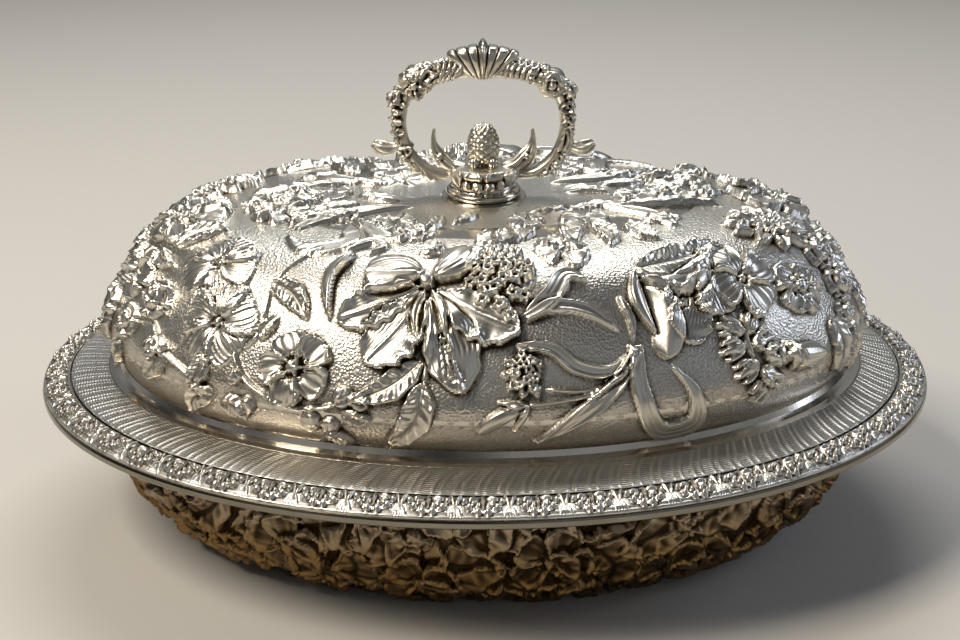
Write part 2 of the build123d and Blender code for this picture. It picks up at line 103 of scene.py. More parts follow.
def flow(knots, values, at):
    """A smooth curve through values at knots, read at other places."""
    knots = np.asarray(knots, float)
    values = np.asarray(values, float)
    if len(knots) == 2:
        share = (at - knots[0]) / (knots[1] - knots[0])
        return values[0] + share[..., None] * (values[1] - values[0])
    slopes = np.gradient(values, knots, axis=0)
    left = np.clip(np.searchsorted(knots, at) - 1, 0, len(knots) - 2)
    span = knots[left + 1] - knots[left]
    t = ((at - knots[left]) / span)[..., None]
    span = span[..., None]
    start = (1 + 2 * t) * (1 - t) ** 2 * values[left] + t * (1 - t) ** 2 * span * slopes[left]
    end = t * t * (3 - 2 * t) * values[left + 1] + t * t * (t - 1) * span * slopes[left + 1]
    return start + end


def lengths(points):
    """How far along a line each of its points is."""
    steps = np.linalg.norm(np.diff(points, axis=0), axis=1)
    return np.concatenate([[0.0], np.cumsum(steps)])


def oval_angles(half_length, half_width, count):
    """Angles that divide an oval evenly, from the middle of the back round by the left, and its length."""
    fine = np.linspace(0.5 * math.pi, 0.5 * math.pi + TURN, 8001)
    line = np.stack([half_length * np.cos(fine), half_width * np.sin(fine)], axis=1)
    run = lengths(line)
    return np.interp(np.arange(count) * run[-1] / count, run, fine), run[-1]


def oval_surface(levels, pitch):
    """Points of a surface through ovals, with its along and up. The count of columns can be divided by 8."""
    levels = np.array(levels)
    knots = lengths(levels[:, [0, 2]])
    rows = int(round(knots[-1] / pitch))
    up = np.linspace(0.0, knots[-1], rows + 1)
    ovals = flow(knots, levels, up)
    widest = levels[levels[:, 0].argmax()]
    columns = 8 * int(round(4.1 * (widest[0] + widest[1]) / pitch / 10.2))
    angles, turn = oval_angles(widest[0], widest[1], columns)
    x = ovals[:, 0, None] * np.cos(angles)
    y = ovals[:, 1, None] * np.sin(angles)
    z = np.repeat(ovals[:, 2, None], columns, axis=1)
    along = (np.arange(columns) / columns - 0.5) * turn
    return np.stack([x, y, z], axis=2), along, up


def bar_surface(path, halves, pitch, columns):
    """Points of a bar along a path of (x, z), as thick and as deep as halves say, with its along and up. Its
    outer edge is at along 0 and its front at a quarter of the way round."""
    path = np.array([(x, 0.0, z) for x, z in path], float)
    knots = lengths(path)
    fine = flow(knots, path, np.linspace(0, knots[-1], 400))
    run = lengths(fine)
    up = np.linspace(0.0, run[-1], int(round(run[-1] / pitch)) + 1)
    line = np.stack([np.interp(up, run, fine[:, i]) for i in range(3)], axis=1)
    ahead = np.gradient(line, axis=0)
    ahead /= np.linalg.norm(ahead, axis=1, keepdims=True)
    aside = np.stack([-ahead[:, 2], ahead[:, 1], ahead[:, 0]], axis=1)
    size = flow(np.linspace(0, run[-1], len(halves)), halves, up)
    angles = (np.arange(columns) / columns - 0.5) * TURN
    thick = size[:, 0, None, None] * np.cos(angles)[:, None] * aside[:, None, :]
    deep = size[:, 1, None, None] * np.sin(angles)[:, None] * np.array([0.0, -1.0, 0.0])
    return line[:, None, :] + thick + deep, angles * size.mean(), up


def strip_surface(width, depth, cells):
    """Three units of a flat border side by side, of which the middle one is used."""
    along = np.arange(3 * cells + 1) * width / cells
    up = np.linspace(0.0, depth, int(round(depth * cells / width)) + 1)
    x, y = np.meshgrid(along, up)
    return np.stack([x, y, 0 * x], axis=2), along, up


# ---- Outlines of leaves and petals: half width as a share, from foot to tip --------------------


def leaf_outline(t):
    return np.sin(math.pi * t**0.8) ** 0.85


def petal_outline(t):
    return 1.12 * t**0.5 * np.sqrt(1 - t**7)


def fall_outline(t):
    return np.maximum(np.sin(math.pi * t**1.35), 0.0) ** 0.62


def strap_outline(t):
    return np.minimum(1.0, np.minimum(0.45 + 2 * t, 2.6 * (1 - t))) ** 0.7


def hook_outline(t):
    return np.minimum(0.55 + 0.6 * t, 2.4 * (1 - t)) ** 0.9


def stem_outline(t):
    return np.minimum(1.0, np.minimum(0.4 + 8 * t, 0.4 + 8 * (1 - t)))


def round_outline(t):
    return np.sqrt(np.maximum(0.0, 1 - (2 * t - 1) ** 2))


def bud_outline(t):
    return 1.55 * t**0.6 * (1 - t) ** 0.42


# ---- Relief ------------------------------------------------------------------------------------


class Relief:
    """A surface as a grid of points, each of which is driven out by a height of its own."""

    def __init__(self, points, along, up):
        self.points = points
        self.along = along
        self.up = up
        self.turn = along[-1] - along[0] + (along[1] - along[0])
        self.origin = 0.0  # where along 0 of the places that are given lies on the surface
        self.height = np.zeros(points.shape[:2])
        self.ground = np.ones(points.shape[:2])
        to_right = np.roll(points, -1, axis=1) - np.roll(points, 1, axis=1)
        to_top = np.gradient(points, up, axis=0)
        self.along_scale = np.linalg.norm(to_right, axis=2) / (2 * (along[1] - along[0]))
        self.up_scale = np.linalg.norm(to_top, axis=2)
        out = np.cross(to_right, to_top)
        self.out = out / np.linalg.norm(out, axis=2, keepdims=True)

    def read(self, values, places):
        """A grid of values read at places, each (along, up)."""
        places = np.asarray(places, float)
        rows, columns = self.height.shape
        row = np.clip((places[..., 1] - self.up[0]) / (self.up[1] - self.up[0]), 0, rows - 1.001)
        column = (places[..., 0] + self.origin - self.along[0]) / (self.along[1] - self.along[0])
        r0 = row.astype(int)
        c0 = np.floor(column).astype(int)
        fr = row - r0
        fc = column - c0
        if values.ndim == 3:
            fr = fr[..., None]
            fc = fc[..., None]
        low = values[r0, c0 % columns] * (1 - fc) + values[r0, (c0 + 1) % columns] * fc
        high = values[r0 + 1, c0 % columns] * (1 - fc) + values[r0 + 1, (c0 + 1) % columns] * fc
        return low * (1 - fr) + high * fr

    def spot(self, at, turn=0.0):
        """Turns millimetres right and up of a place, the pair turned by degrees, into places."""
        at = np.asarray(at, float)
        scale = np.array([self.read(self.along_scale, at), self.read(self.up_scale, at)])
        c = math.cos(math.radians(turn))
        s = math.sin(math.radians(turn))
        swing = np.array([[c, s], [-s, c]])
        return lambda local: at + (np.asarray(local, float) @ swing) / scale

    def under(self, x, y):
        """The place that lies at x and y in plan, on the crown."""
        away = np.hypot(self.points[..., 0] - x, self.points[..., 1] - y)
        row, column = np.unravel_index(away.argmin(), away.shape)
        return self.along[column], self.up[row]

    def raise_to(self, near, inside, height, groove=0.0):
        """Lays a form over what is there, so that it stands above it, and sets down the metal round it."""
        old = self.height[near]
        carried = (1 - 0.3 * inside) * np.maximum(old, 0.0) * (1 - 0.35 * inside)
        over = inside * height + carried
        old = old - groove * (BARE_SHARE + (1 - BARE_SHARE) * ease(old / FULL_RELIEF))
        self.height[near] = np.where(inside > 0, np.maximum(old, over), old)
        self.ground[near] = np.minimum(self.ground[near], 1 - inside)

    def hollow(self):
        """How far each point lies below what is round it, on the average of a few steps each way."""
        soft = self.height
        reach = HOLLOW_REACH
        for _ in range(2):
            total = sum(np.roll(soft, k, axis=1) for k in range(-reach, reach + 1))
            soft = total / (2 * reach + 1)
            padded = np.pad(soft, ((reach, reach), (0, 0)), mode="edge")
            soft = sum(padded[k : k + soft.shape[0]] for k in range(2 * reach + 1)) / (2 * reach + 1)
        return soft - self.height

    def clear(self, at, radius, limit=1.0):
        """Sets down what stands higher than a limit where a flower is going to lie."""
        centre = self.read(self.points, at)
        near = np.nonzero(np.all(np.abs(self.points - centre) < radius, axis=2))
        away = np.linalg.norm(self.points[near] - centre, axis=1)
        old = self.height[near]
        self.height[near] = old - ease((radius - away) / 1.5) * np.maximum(old - limit, 0.0)

    def blade(
        self, path, width, high, outline=leaf_outline, dome=0.0, cup=0.0, tip=0.0, lean=0.0, rib=0.0,
        fold=0.0, rim=0.0, start=0.6, veins=0, streaks=0, flute=0.13, ruffle=(0, 0.0), wave=0.0,
        teeth=(0, 0.0), soft=1.0,
    ):
        """A leaf, petal, strap or stem that follows a path of places. It begins at the share start of its
        height, is cupped or domed across and may have a fold, a raised rim, a rib, veins, streaks down it
        (a flute deep) and an edge that is ruffled (waves, height), waved or toothed (teeth, share of
        width)."""
        path = np.asarray(path, float)
        knots = lengths(path * [np.mean(self.read(self.along_scale, path)), 1.0])
        places = flow(knots, path, np.linspace(0, knots[-1], 30))
        line = self.read(self.points, places)
        out = self.read(self.out, places)
        run = lengths(line)
        ahead = np.gradient(line, axis=0)
        ahead /= np.linalg.norm(ahead, axis=1, keepdims=True)
        side = np.cross(out, ahead)
        side /= np.linalg.norm(side, axis=1, keepdims=True)
        low = line.min(axis=0) - width
        top = line.max(axis=0) + width
        near = np.nonzero(np.all((self.points > low) & (self.points < top), axis=2))
        here = self.points[near]
        if len(here) == 0:
            return
        away = ((here[:, None, :] - line[None, :, :]) ** 2).sum(axis=2)
        nearest = away.argmin(axis=1)
        offset = here - line[nearest]
        facing = (self.out[near] * out[nearest]).sum(axis=1) > 0.2
        t = (run[nearest] + (offset * ahead[nearest]).sum(axis=1)) / run[-1]
        across = (offset * side[nearest]).sum(axis=1)
        on = (t > 0) & (t < 1) & facing
        t = np.clip(t, 0, 1)
        half = 0.5 * width * outline(t)
        if wave:
            half = half * (1 + wave * np.sin(TURN * 1.6 * ruffle[0] * t + 2 * np.sign(across)))
        if teeth[0]:
            half = half * (1 + teeth[1] * (np.mod(t * teeth[0], 1.0) - 0.5))
        half = np.maximum(half, 0.05)
        q = across / half
        edge = (1 - np.abs(q)) * half
        inside = np.where(on, ease(edge / soft), 0.0)
        height = high * (start + (1 - start) * np.sin(math.pi * t**0.7))
        height += dome * (1 - q * q) + cup * q * q
        height += tip * t * t + lean * q + fold * np.abs(q) + rib * np.exp(-((across / 0.7) ** 2))
        height += rim * np.exp(-(((edge - 0.8) / 0.5) ** 2))
        if veins:
            height += 0.22 * np.cos(TURN * (veins * t - 0.8 * np.abs(q))) * ease(np.abs(q) * 3)
        if streaks:
            height += flute * np.cos(math.pi * streaks * q) * ease(t * 4)
        if ruffle[0]:
            height += ruffle[1] * np.abs(q) ** 2 * np.sin(TURN * ruffle[0] * t + 2 * q)
        beyond = np.where(on & (edge < 0), np.exp(-((edge / 0.8) ** 2)), 0.0)
        self.raise_to(near, inside, height, 0.9 * beyond)

    def knob(
        self, at, radius, high, base=0.0, lobes=0, notch=0.0, swirl=0.0, layers=0.0, hole=0.0, turn=0.0
    ):
        """A round boss, which may have lobes with notches between them, wound petals in layers or a hole."""
        centre = self.read(self.points, at)
        out = self.read(self.out, at)
        near = np.nonzero(np.all(np.abs(self.points - centre) < 1.3 * radius, axis=2))
        offset = self.points[near] - centre
        right = np.cross([0.0, 0.0, 1.0], out)
        if np.linalg.norm(right) < 0.05:
            right = np.array([1.0, 0.0, 0.0])
        right /= np.linalg.norm(right)
        x = offset @ right
        y = offset @ np.cross(out, right)
        angle = np.arctan2(y, x) + math.radians(turn)
        reach = radius * (1 - notch * (0.5 - 0.5 * np.cos(lobes * angle)))
        r = np.hypot(x, y) / reach
        facing = self.out[near] @ out > 0.2
        inside = np.where(facing, ease((1 - r) * reach / min(1.0, 0.5 * radius)), 0.0)
        height = base + high * np.sqrt(np.maximum(0.0, 1 - r * r))
        if lobes:
            height += 0.12 * high * np.cos(lobes * angle) * ease(2 * r)
        if layers:
            phase = layers * r + 0.3 * np.sin(3 * angle + swirl * r) + swirl * angle / TURN
            height += 0.9 * (np.mod(phase, 1.0) - 0.5) * ease(4 * r)
        if hole:
            height *= 0.15 + 0.85 * ease((r - hole) / 0.25)
        beyond = np.where(facing & (r > 1), np.exp(-(((r - 1) * radius / 0.9) ** 2)), 0.0)
        self.raise_to(near, inside, height, 0.7 * beyond)

    # Whole flowers and leaves, each at a place, made of blades and knobs

    def blossom(
        self, at, radius, petals=5, turn=0.0, high=2.6, heart=0.2, streaks=5, flute=0.13, teeth=(0, 0.0),
        curl=1.0, wide=1.85,
    ):
        """An open flower seen from the front: petals that rise from its heart to curled edges."""
        self.clear(at, 0.95 * radius)
        petal_width = wide * radius * math.sin(math.pi / petals)
        curled = dict(cup=0.9 * curl, tip=1.0 * curl, lean=0.5 * curl, ruffle=(1.5, 0.3 * curl), rim=0.5)
        lined = dict(rib=-0.4, start=0.25, streaks=streaks, flute=flute, teeth=teeth, soft=0.6)
        for k in range(petals):
            local = self.spot(at, turn + 360.0 * k / petals)
            path = local([(0.0, 0.08 * radius), (0.05 * radius, 0.5 * radius), (0.0, radius)])
            self.blade(path, petal_width, high, petal_outline, **curled, **lined)
        self.knob(at, heart * radius, 1.0, base=0.55 * high, lobes=5, notch=0.15)
        if heart > 0.15 and radius > 9:  # a broad heart has a ring of seeds round it
            ring = self.spot(at, turn)
            seeds = 9
            for k in range(seeds):
                angle = TURN * k / seeds
                seed = 0.36 * radius * np.array([math.cos(angle), math.sin(angle)])
                self.knob(ring(seed), 0.7, 0.7, base=0.7 * high)

    def rose(self, at, radius, high=3.6, turn=0.0):
        """A full rose: guard petals round a wound heart."""
        guard = dict(cup=0.8, tip=0.8, lean=0.7, rim=0.4, soft=0.7)
        for k in range(5):
            path = self.spot(at, turn + 72 * k)([(0.0, 0.2 * radius), (0.0, radius)])
            self.blade(path, 1.2 * radius, 0.6 * high, petal_outline, **guard)
        self.knob(at, 0.6 * radius, 0.45 * high, 0.5 * high, swirl=1.0, layers=1.7, turn=turn)

    def leaf(self, foot, tip_at, width, high=1.8, bend=0.0, veins=6, tip=1.2, curl=1.0):
        """A veined leaf from foot to tip, folded along its rib, with curled edges, bent sideways by a share
        of its length."""
        foot = np.asarray(foot, float)
        tip_at = np.asarray(tip_at, float)
        way = tip_at - foot
        middle = foot + 0.5 * way + bend * np.array([-way[1], way[0]])
        curled = dict(fold=0.5 * curl, rim=0.4 * curl, lean=0.5 * curl, ruffle=(2.5, 0.5 * curl), wave=0.05)
        self.blade([foot, middle, tip_at], width, high, tip=tip, rib=-0.6, veins=veins, soft=0.7, **curled)

    def strap(self, path, width, high=2.4, streaks=3, cup=0.7):
        """A long smooth leaf with grooves down it."""
        self.blade(path, width, high, strap_outline, dome=0.3, cup=cup, rim=0.3, streaks=streaks, soft=0.7)

    def stem(self, path, width=2.4, high=1.8):
        """A round stem."""
        self.blade(path, width, high * 0.6, stem_outline, dome=high * 0.6, soft=0.8)

    def bud(self, path, width, high=3.0):
        """A closed bud that points along its path, with a small calyx at its foot."""
        self.blade(path, width, 0.4 * high, bud_outline, dome=0.6 * high, rib=-0.3, streaks=3, soft=0.8)
        foot = np.asarray(path[0], float)
        way = np.asarray(path[-1], float) - foot
        for sway in (-0.32, 0.32):
            tip_at = foot + 0.5 * way + sway * np.array([-way[1], way[0]])
            self.blade([foot, tip_at], 0.4 * width, 0.7 * high, dome=0.4, soft=0.7)


# ---- The cover's flowers -----------------------------------------------------------------------


def iris_spray(r):
    """The iris in the middle of a side, with its leaves: three falls, a broader one in front, two style arms
    with their threads, and three upright petals."""
    r.stem([(-22, 58), (-20, 42), (-21, 26)], 3.2, 2.0)
    r.leaf((-22, 35), (-46, 20), 11, 2.2, bend=0.08, veins=8)
    r.leaf((-21, 28), (-34, 5), 12, 2.2, bend=0.16, veins=8)
    fall = dict(
        outline=fall_outline, cup=1.6, rib=0.7, rim=0.6, start=0.4, ruffle=(4, 1.1), wave=0.07, soft=0.7
    )
    r.blade([(-25, 62), (-38, 55), (-57, 47)], 15, 2.4, tip=2.0, lean=-1.2, streaks=13, **fall)
    r.blade([(-24, 61), (-30, 49), (-43, 33)], 20, 2.8, tip=2.4, lean=1.2, streaks=15, **fall)
    r.blade([(-20, 61), (-8, 54), (14, 45)], 19, 2.8, tip=2.6, lean=-1.0, streaks=15, **fall)
    fall.update(cup=0.0, dome=1.8, rib=1.0, rim=0.5, start=0.5, ruffle=(3, 0.9), wave=0.05, soft=0.8)
    r.blade([(-21, 60), (-13, 43), (-7, 24)], 20, 2.8, tip=1.4, lean=-0.8, streaks=11, **fall)
    for x, lean in ((-26, -0.6), (-16, 0.6)):
        r.blade([(-22, 60), (x, 52), (x + 2, 40)], 3.6, 3.4, dome=0.9, lean=lean)
    for bend in (-1.5, 0.0, 1.5):
        r.stem([(-16, 44), (-13 + bend, 36), (-10 + 2 * bend, 28)], 1.0, 2.0)
    standard = dict(outline=petal_outline, dome=2.8, cup=0.6, rib=-0.5, start=0.4, soft=0.8)
    r.blade([(-25, 66), (-37, 71), (-52, 66)], 19, 2.6, streaks=7, lean=0.8, **standard)
    r.blade([(-26, 66), (-38, 62), (-51, 61)], 9, 3.4, streaks=3, lean=-0.8, **standard)
    r.blade([(-22, 66), (-14, 76), (-8, 90)], 18, 2.8, streaks=7, lean=-0.8, **standard)
    r.knob((-24, 64), 3.0, 1.8, base=4.0)


def floret_ball(r, at, radius, high, count=26):
    """A round head of small ruffled florets, set in a spiral."""
    r.knob(at, radius, high, base=0.6)
    local = r.spot(at)
    size = 1.25 * radius / math.sqrt(count)
    for k in range(count):
        share = math.sqrt((k + 0.5) / count)
        angle = GOLDEN_ANGLE * k
        place = local((0.9 * radius * share * math.cos(angle), 1.15 * radius * share * math.sin(angle)))
        lift = 0.6 + high * math.sqrt(max(0.0, 1 - (0.9 * share) ** 2))
        r.knob(place, size, 1.4, lift - 0.5, lobes=5, notch=0.25, hole=0.2, turn=40 * k)


def strap_spray(r):
    """Strap leaves, buds and the loop leaf that meet in one joint, and the rolled leaf above it."""
    r.strap([(16, 50), (27, 57), (39, 68), (46, 64)], 7.5, 2.4, cup=1.2)
    r.strap([(16, 50), (29, 54), (41, 52), (53, 43)], 5.5, 2.2, streaks=4)
    r.strap([(12, 40), (25, 39), (34, 32), (46, 30), (57, 38)], 5.5, 2.4, cup=1.0)
    r.strap([(57, 36), (46, 24), (32, 15), (17, 5)], 6.5, 2.4)
    r.strap([(56, 56), (58, 47), (57, 39)], 3.4, 2.0, streaks=1)
    r.stem([(57, 35), (48, 27), (38, 24), (22, 25)], 2.2)
    r.stem([(52, 29), (40, 23), (28, 21), (14, 20)], 2.2)
    r.bud([(16, 20), (8, 17), (-2, 11)], 8, 3.0)
    for turn in (95, 130, 165, 200):
        local = r.spot((16, 31), turn)
        r.blade(local([(0.0, 2.0), (0.0, 9.5)]), 5.5, 2.2, dome=0.4, tip=0.6, soft=0.7)
    floret_ball(r, (15, 32), 6.2, 2.6, 11)
    hook = dict(outline=hook_outline, dome=0.4, cup=0.7, rim=0.3, streaks=4, soft=0.7)
    r.blade([(57, 38), (56, 21), (64, 6), (76, 8), (76, 18), (68, 31)], 9.5, 2.0, **hook)
    rolled = dict(streaks=2, soft=0.8)
    r.blade([(66, 65), (72, 56), (72, 44), (67, 32)], 13, 2.2, petal_outline, dome=2.4, lean=1.4, **rolled)
    r.blade([(66, 66), (63, 54), (66, 40)], 6.0, 3.0, dome=1.4, lean=-0.8, soft=0.7)
    r.blade([(66, 61), (82, 57), (106, 66)], 10, 2.2, fall_outline, dome=2.0, tip=1.2, lean=1.2, **rolled)


def garden_right(r):
    """Broad frilled flower, four-petalled flower, bunch of bells with its bud, many-petalled flower and what
    stands round them."""
    r.leaf((70, 69), (124, 78), 14, 1.8, bend=-0.06, veins=11, curl=1.4)
    frill = dict(
        outline=petal_outline, cup=1.0, rim=0.5, start=0.4, streaks=13, ruffle=(4, 0.9), wave=0.05, soft=0.7
    )
    r.blade([(98, 60), (86, 50), (76, 37)], 19, 2.4, tip=1.8, **frill)
    r.blade([(97, 64), (98, 55), (97, 44)], 22, 2.2, tip=1.8, **frill)
    r.blade([(98, 62), (108, 66), (112, 74)], 14, 2.2, tip=1.4, **frill)
    floret_ball(r, (78, 53), 5.0, 1.4, 9)
    r.stem([(106, 44), (103, 36), (103, 25), (108, 13)])
    left = ((98, 38, 62), (96, 31, 96), (99, 23, 112), (104, 15, 130))
    right = ((108, 38, -48), (109, 31, -84), (108, 19, -105))
    for along, up, turn in left + right:
        local = r.spot((along, up), turn)
        for k in (-1, 1, 0):
            path = local([(0.4 * k, -5.0), (2.8 * k, 1.0), (3.0 * k, 6.5 - 1.6 * abs(k))])
            r.blade(path, 4.8, 1.5, bud_outline, dome=1.7, soft=0.7)
    r.blossom((114, 55), 14.5, 4, turn=15, high=3.0, heart=0.14, streaks=7, wide=1.7)
    r.blossom((140, 45), 10.5, 4, turn=40, high=2.8, curl=1.2)
    r.rose((140, 45), 5, 3.4)
    r.bud([(108, 27), (115, 25), (122, 23)], 11, 3.6)
    r.blade([(116, 24), (125, 22), (137, 20)], 12.5, 1.6, bud_outline, dome=2.6, streaks=5, soft=0.7)
    for out in (0, 3.2):
        collar = r.spot((119 + out, 23.5 - 0.3 * out))
        r.blade(collar([(0.0, -6.2), (0.8, 0.0), (0.0, 6.2)]), 2.6, 2.8, round_outline, dome=1.4, soft=0.7)
    r.leaf((150, 30), (146, 8), 10, 2.2, bend=0.12)
    r.rose((172, 52), 8, 3.4, turn=20)
    heart = (165, 73)
    r.clear(heart, 16)
    for k in range(10):
        path = r.spot(heart, 36 * k)([(0.0, 3.0), (0.0, 17.0)])
        r.blade(path, 7.8, 2.2, tip=1.4, cup=0.7, rib=-0.5, rim=0.4, soft=0.6)
    for k in range(8):
        path = r.spot(heart, 45 * k + 20)([(0.0, 1.0), (0.0, 9.0)])
        r.blade(path, 4.8, 2.4, tip=1.6, rib=-0.4, rim=0.3, soft=0.6)
    r.knob(heart, 3.2, 1.4, base=2.4, lobes=7, notch=0.2)
    r.rose((170, 38), 8, 3.8)
    r.rose((163, 27), 6, 3.2, turn=30)
    r.leaf((166, 22), (158, 5), 9, 2.0, bend=0.1)
    r.leaf((184, 50), (176, 30), 9, 2.0)
    r.stem([(194, 44), (199, 32), (196, 16)], 2.2)
    r.rose((196, 46), 8, 3.4, turn=30)
    r.leaf((198, 34), (186, 18), 10, 2.0, bend=-0.1)
    r.leaf((198, 28), (208, 12), 10, 2.0, bend=0.1)
    r.bud([(197, 18), (195, 12), (191, 5)], 8, 2.8)


def garden_left(r):
    """Two frilled flowers, the ruffled anemone and what stands round them."""
    frilled = dict(heart=0.14, streaks=9, flute=0.28, curl=0.35, wide=2.1)
    r.blossom((-123, 61), 14.5, 5, turn=-8, high=2.2, **frilled)
    r.stem([(-98, 34), (-95, 30), (-89, 23), (-79, 18), (-66, 15), (-50, 18)], 2.4, 2.0)
    r.stem([(-140, 32), (-130, 24), (-112, 18), (-104, 12)])
    r.blossom((-107, 39.5), 15.5, 5, turn=12, high=2.4, teeth=(11, 0.1), **frilled)
    r.blossom((-69, 29), 13, 5, turn=30, curl=1.7)
    r.knob((-69, 29), 3.4, 1.6, base=2.2, lobes=6, notch=0.2)
    r.leaf((-92, 58), (-69, 46), 9.5, 2.2, bend=0.1)
    r.stem([(-91, 56), (-88, 44), (-88, 38), (-92, 32)], 1.8, 1.4)
    r.leaf((-82, 46), (-86, 36), 6, bend=-0.1)
    r.blade([(-66, 82), (-68, 66), (-60, 46)], 5.0, 3.0, dome=1.2, lean=1.0, rim=0.4, soft=0.7)
    buds = ((-49, 21, 4.4), (-43, 20, 4.0), (-61, 11, 4.2), (-54, 10, 3.8), (-86, 13, 3.6), (-92, 22, 3.4))
    for along, up, size in buds:
        r.knob((along, up), size, 2.2, base=0.9, swirl=1.0, layers=1.3)
    r.leaf((-50, 16), (-38, 14), 6, 2.0, bend=-0.1)
    r.leaf((-57, 7), (-46, 3), 6)
    r.leaf((-108, 27), (-112, 14), 9, 2.2, bend=0.12, veins=5)
    r.leaf((-128, 24), (-138, 12), 9, 2.0, bend=0.12, veins=5)
    r.leaf((-100, 14), (-114, 3), 9, 2.2, bend=-0.2, veins=5)
    r.leaf((-98, 12), (-86, 7), 7, 2.0, bend=0.2)
    for turn in (150, 190, 230):
        path = r.spot((-134, 28), turn)([(0.0, 0.0), (0.0, 8.0)])
        r.blade(path, 6.0, 2.0, petal_outline, cup=1.0, tip=1.4, rim=0.4, soft=0.7)
    r.rose((-145, 40), 8, 3.8)
    r.rose((-158, 27), 7, 3.4, turn=40)
    r.blossom((-170, 44), 11, 5, high=2.8, streaks=4, curl=1.2)
    r.blossom((-186, 72), 17, 6, turn=10, streaks=4, curl=1.4)
    r.rose((-186, 72), 9, 2.8, turn=20)
    r.leaf((-158, 60), (-150, 80), 10, 2.2, bend=0.15)
    r.leaf((-166, 56), (-150, 54), 8, 2.2, bend=-0.1)
    r.leaf((-182, 34), (-176, 12), 11, 2.2, bend=-0.1)
    r.leaf((-190, 52), (-196, 34), 9, 2.0)
    r.leaf((-160, 18), (-168, 6), 8, 2.0, bend=0.1)


def crown_garden(r):
    """Lined straps, leaves and low flowers of the crown, for half the way round. Those close to the handle's
    foot are given by x and y in plan."""
    r.strap([(-112, 120), (-92, 106), (-80, 90), (-92, 82), (-120, 90)], 8.0, 1.1, streaks=7, cup=0.4)
    r.strap([(-112, 120), (-90, 114), (-66, 104), (-46, 104)], 8.0, 1.2, streaks=7, cup=0.4)
    r.stem([(-88, 84), (-90, 70), (-91, 58)], 1.6, 1.0)
    r.strap([(-74, 84), (-66, 96), (-57, 92), (-62, 82)], 4.5, 1.6, streaks=1, cup=0.8)
    r.rose((-50, 112), 7.5, 2.2)
    r.blossom((44, 90), 9.5, 4, turn=25, high=2.0, streaks=4, curl=0.9)
    petals = (((-4, 100), (10, 108)), ((10, 100), (22, 112)), ((26, 104), (34, 118)), ((58, 98), (64, 112)))
    for foot, tip_at in petals:
        path = [foot, (0.5 * (foot[0] + tip_at[0]) - 2, 0.5 * (foot[1] + tip_at[1])), tip_at]
        r.blade(
            path, 11, 1.6, petal_outline, cup=0.8, tip=0.8, rim=0.4, streaks=5, ruffle=(3, 0.5), soft=0.7
        )
    r.leaf((86, 116), (72, 90), 9, 1.6, bend=0.15)
    r.leaf((110, 112), (103, 88), 9, 1.6, bend=-0.12)
    r.strap([(160, 131), (174, 119), (185, 107), (188, 92)], 4.5, 1.6, streaks=1)
    r.blossom((200, 112), 9, 5, turn=10, high=1.8, streaks=3, curl=0.8)
    r.blossom((-160, 104), 10.5, 5, turn=30, high=2.2)
    r.leaf((-186, 124), (-188, 100), 10, bend=0.2)
    r.leaf((-140, 116), (-132, 98), 8, 1.6, bend=-0.2)
    r.leaf((-26, 100), (-34, 86), 8, bend=0.1)
    r.leaf((-204, 98), (-172, 92), 9, bend=0.15)
    r.rose((-128, 120), 6, 1.8)
    leaves = (
        (6.5, (-19, -41), (-15, -27)),
        (7.0, (32, -20), (45, -14), (54, -19)),
        (6.0, (54, -14), (81, -8), (94, -9)),
        (7.0, (-48, -12), (-67, -17)),
        (6.0, (22, -10), (29, -17), (17, -22)),
        (7.0, (-80, -2), (-98, -10)),
        (7.0, (60, -30), (76, -26)),
        (8.0, (26, 4), (38, 6), (50, 1)),
        (6.5, (-2, -25), (-12, -35)),
    )
    for width, *plan in leaves:
        path = [r.under(x, y) for x, y in plan]
        r.blade(path, width, 1.3, tip=0.5, fold=0.4, rib=-0.4, rim=0.3, veins=5, soft=0.7)
    for x, y, size, count in ((38, -32, 9.5, 5), (-33, -34, 8.5, 5), (61, -1, 9.0, 4), (16, -33, 7.0, 4)):
        width = 1.7 * size * math.sin(math.pi / count)
        for k in range(count):
            turn = 0.4 + k * TURN / count
            east = size * math.cos(turn)
            north = size * math.sin(turn)
            path = [r.under(x + share * east, y + share * north) for share in (0.15, 0.6, 1.0)]
            r.blade(path, width, 1.5, petal_outline, cup=0.4, tip=0.4, rim=0.3, streaks=5, soft=0.6)
    straps = ((8.0, (-70, -36), (-58, -27), (-43, -20), (-27, -15)), (7.0, (72, -34), (60, -22), (46, -16)))
    for width, *plan in straps:
        r.strap([r.under(x, y) for x, y in plan], width, 1.3, streaks=6, cup=0.4)


def work_cover(r):
    """All of the cover's relief: one side's, and the same again on the other side."""
    for origin in (0.5 * r.turn, 0.0):
        r.origin = origin
        crown_garden(r)
        garden_left(r)
        garden_right(r)
        strap_spray(r)
        floret_ball(r, (8, 71), 12.5, 4.0)
        iris_spray(r)


# ---- The bowl's leaves and flowers -------------------------------------------------------------


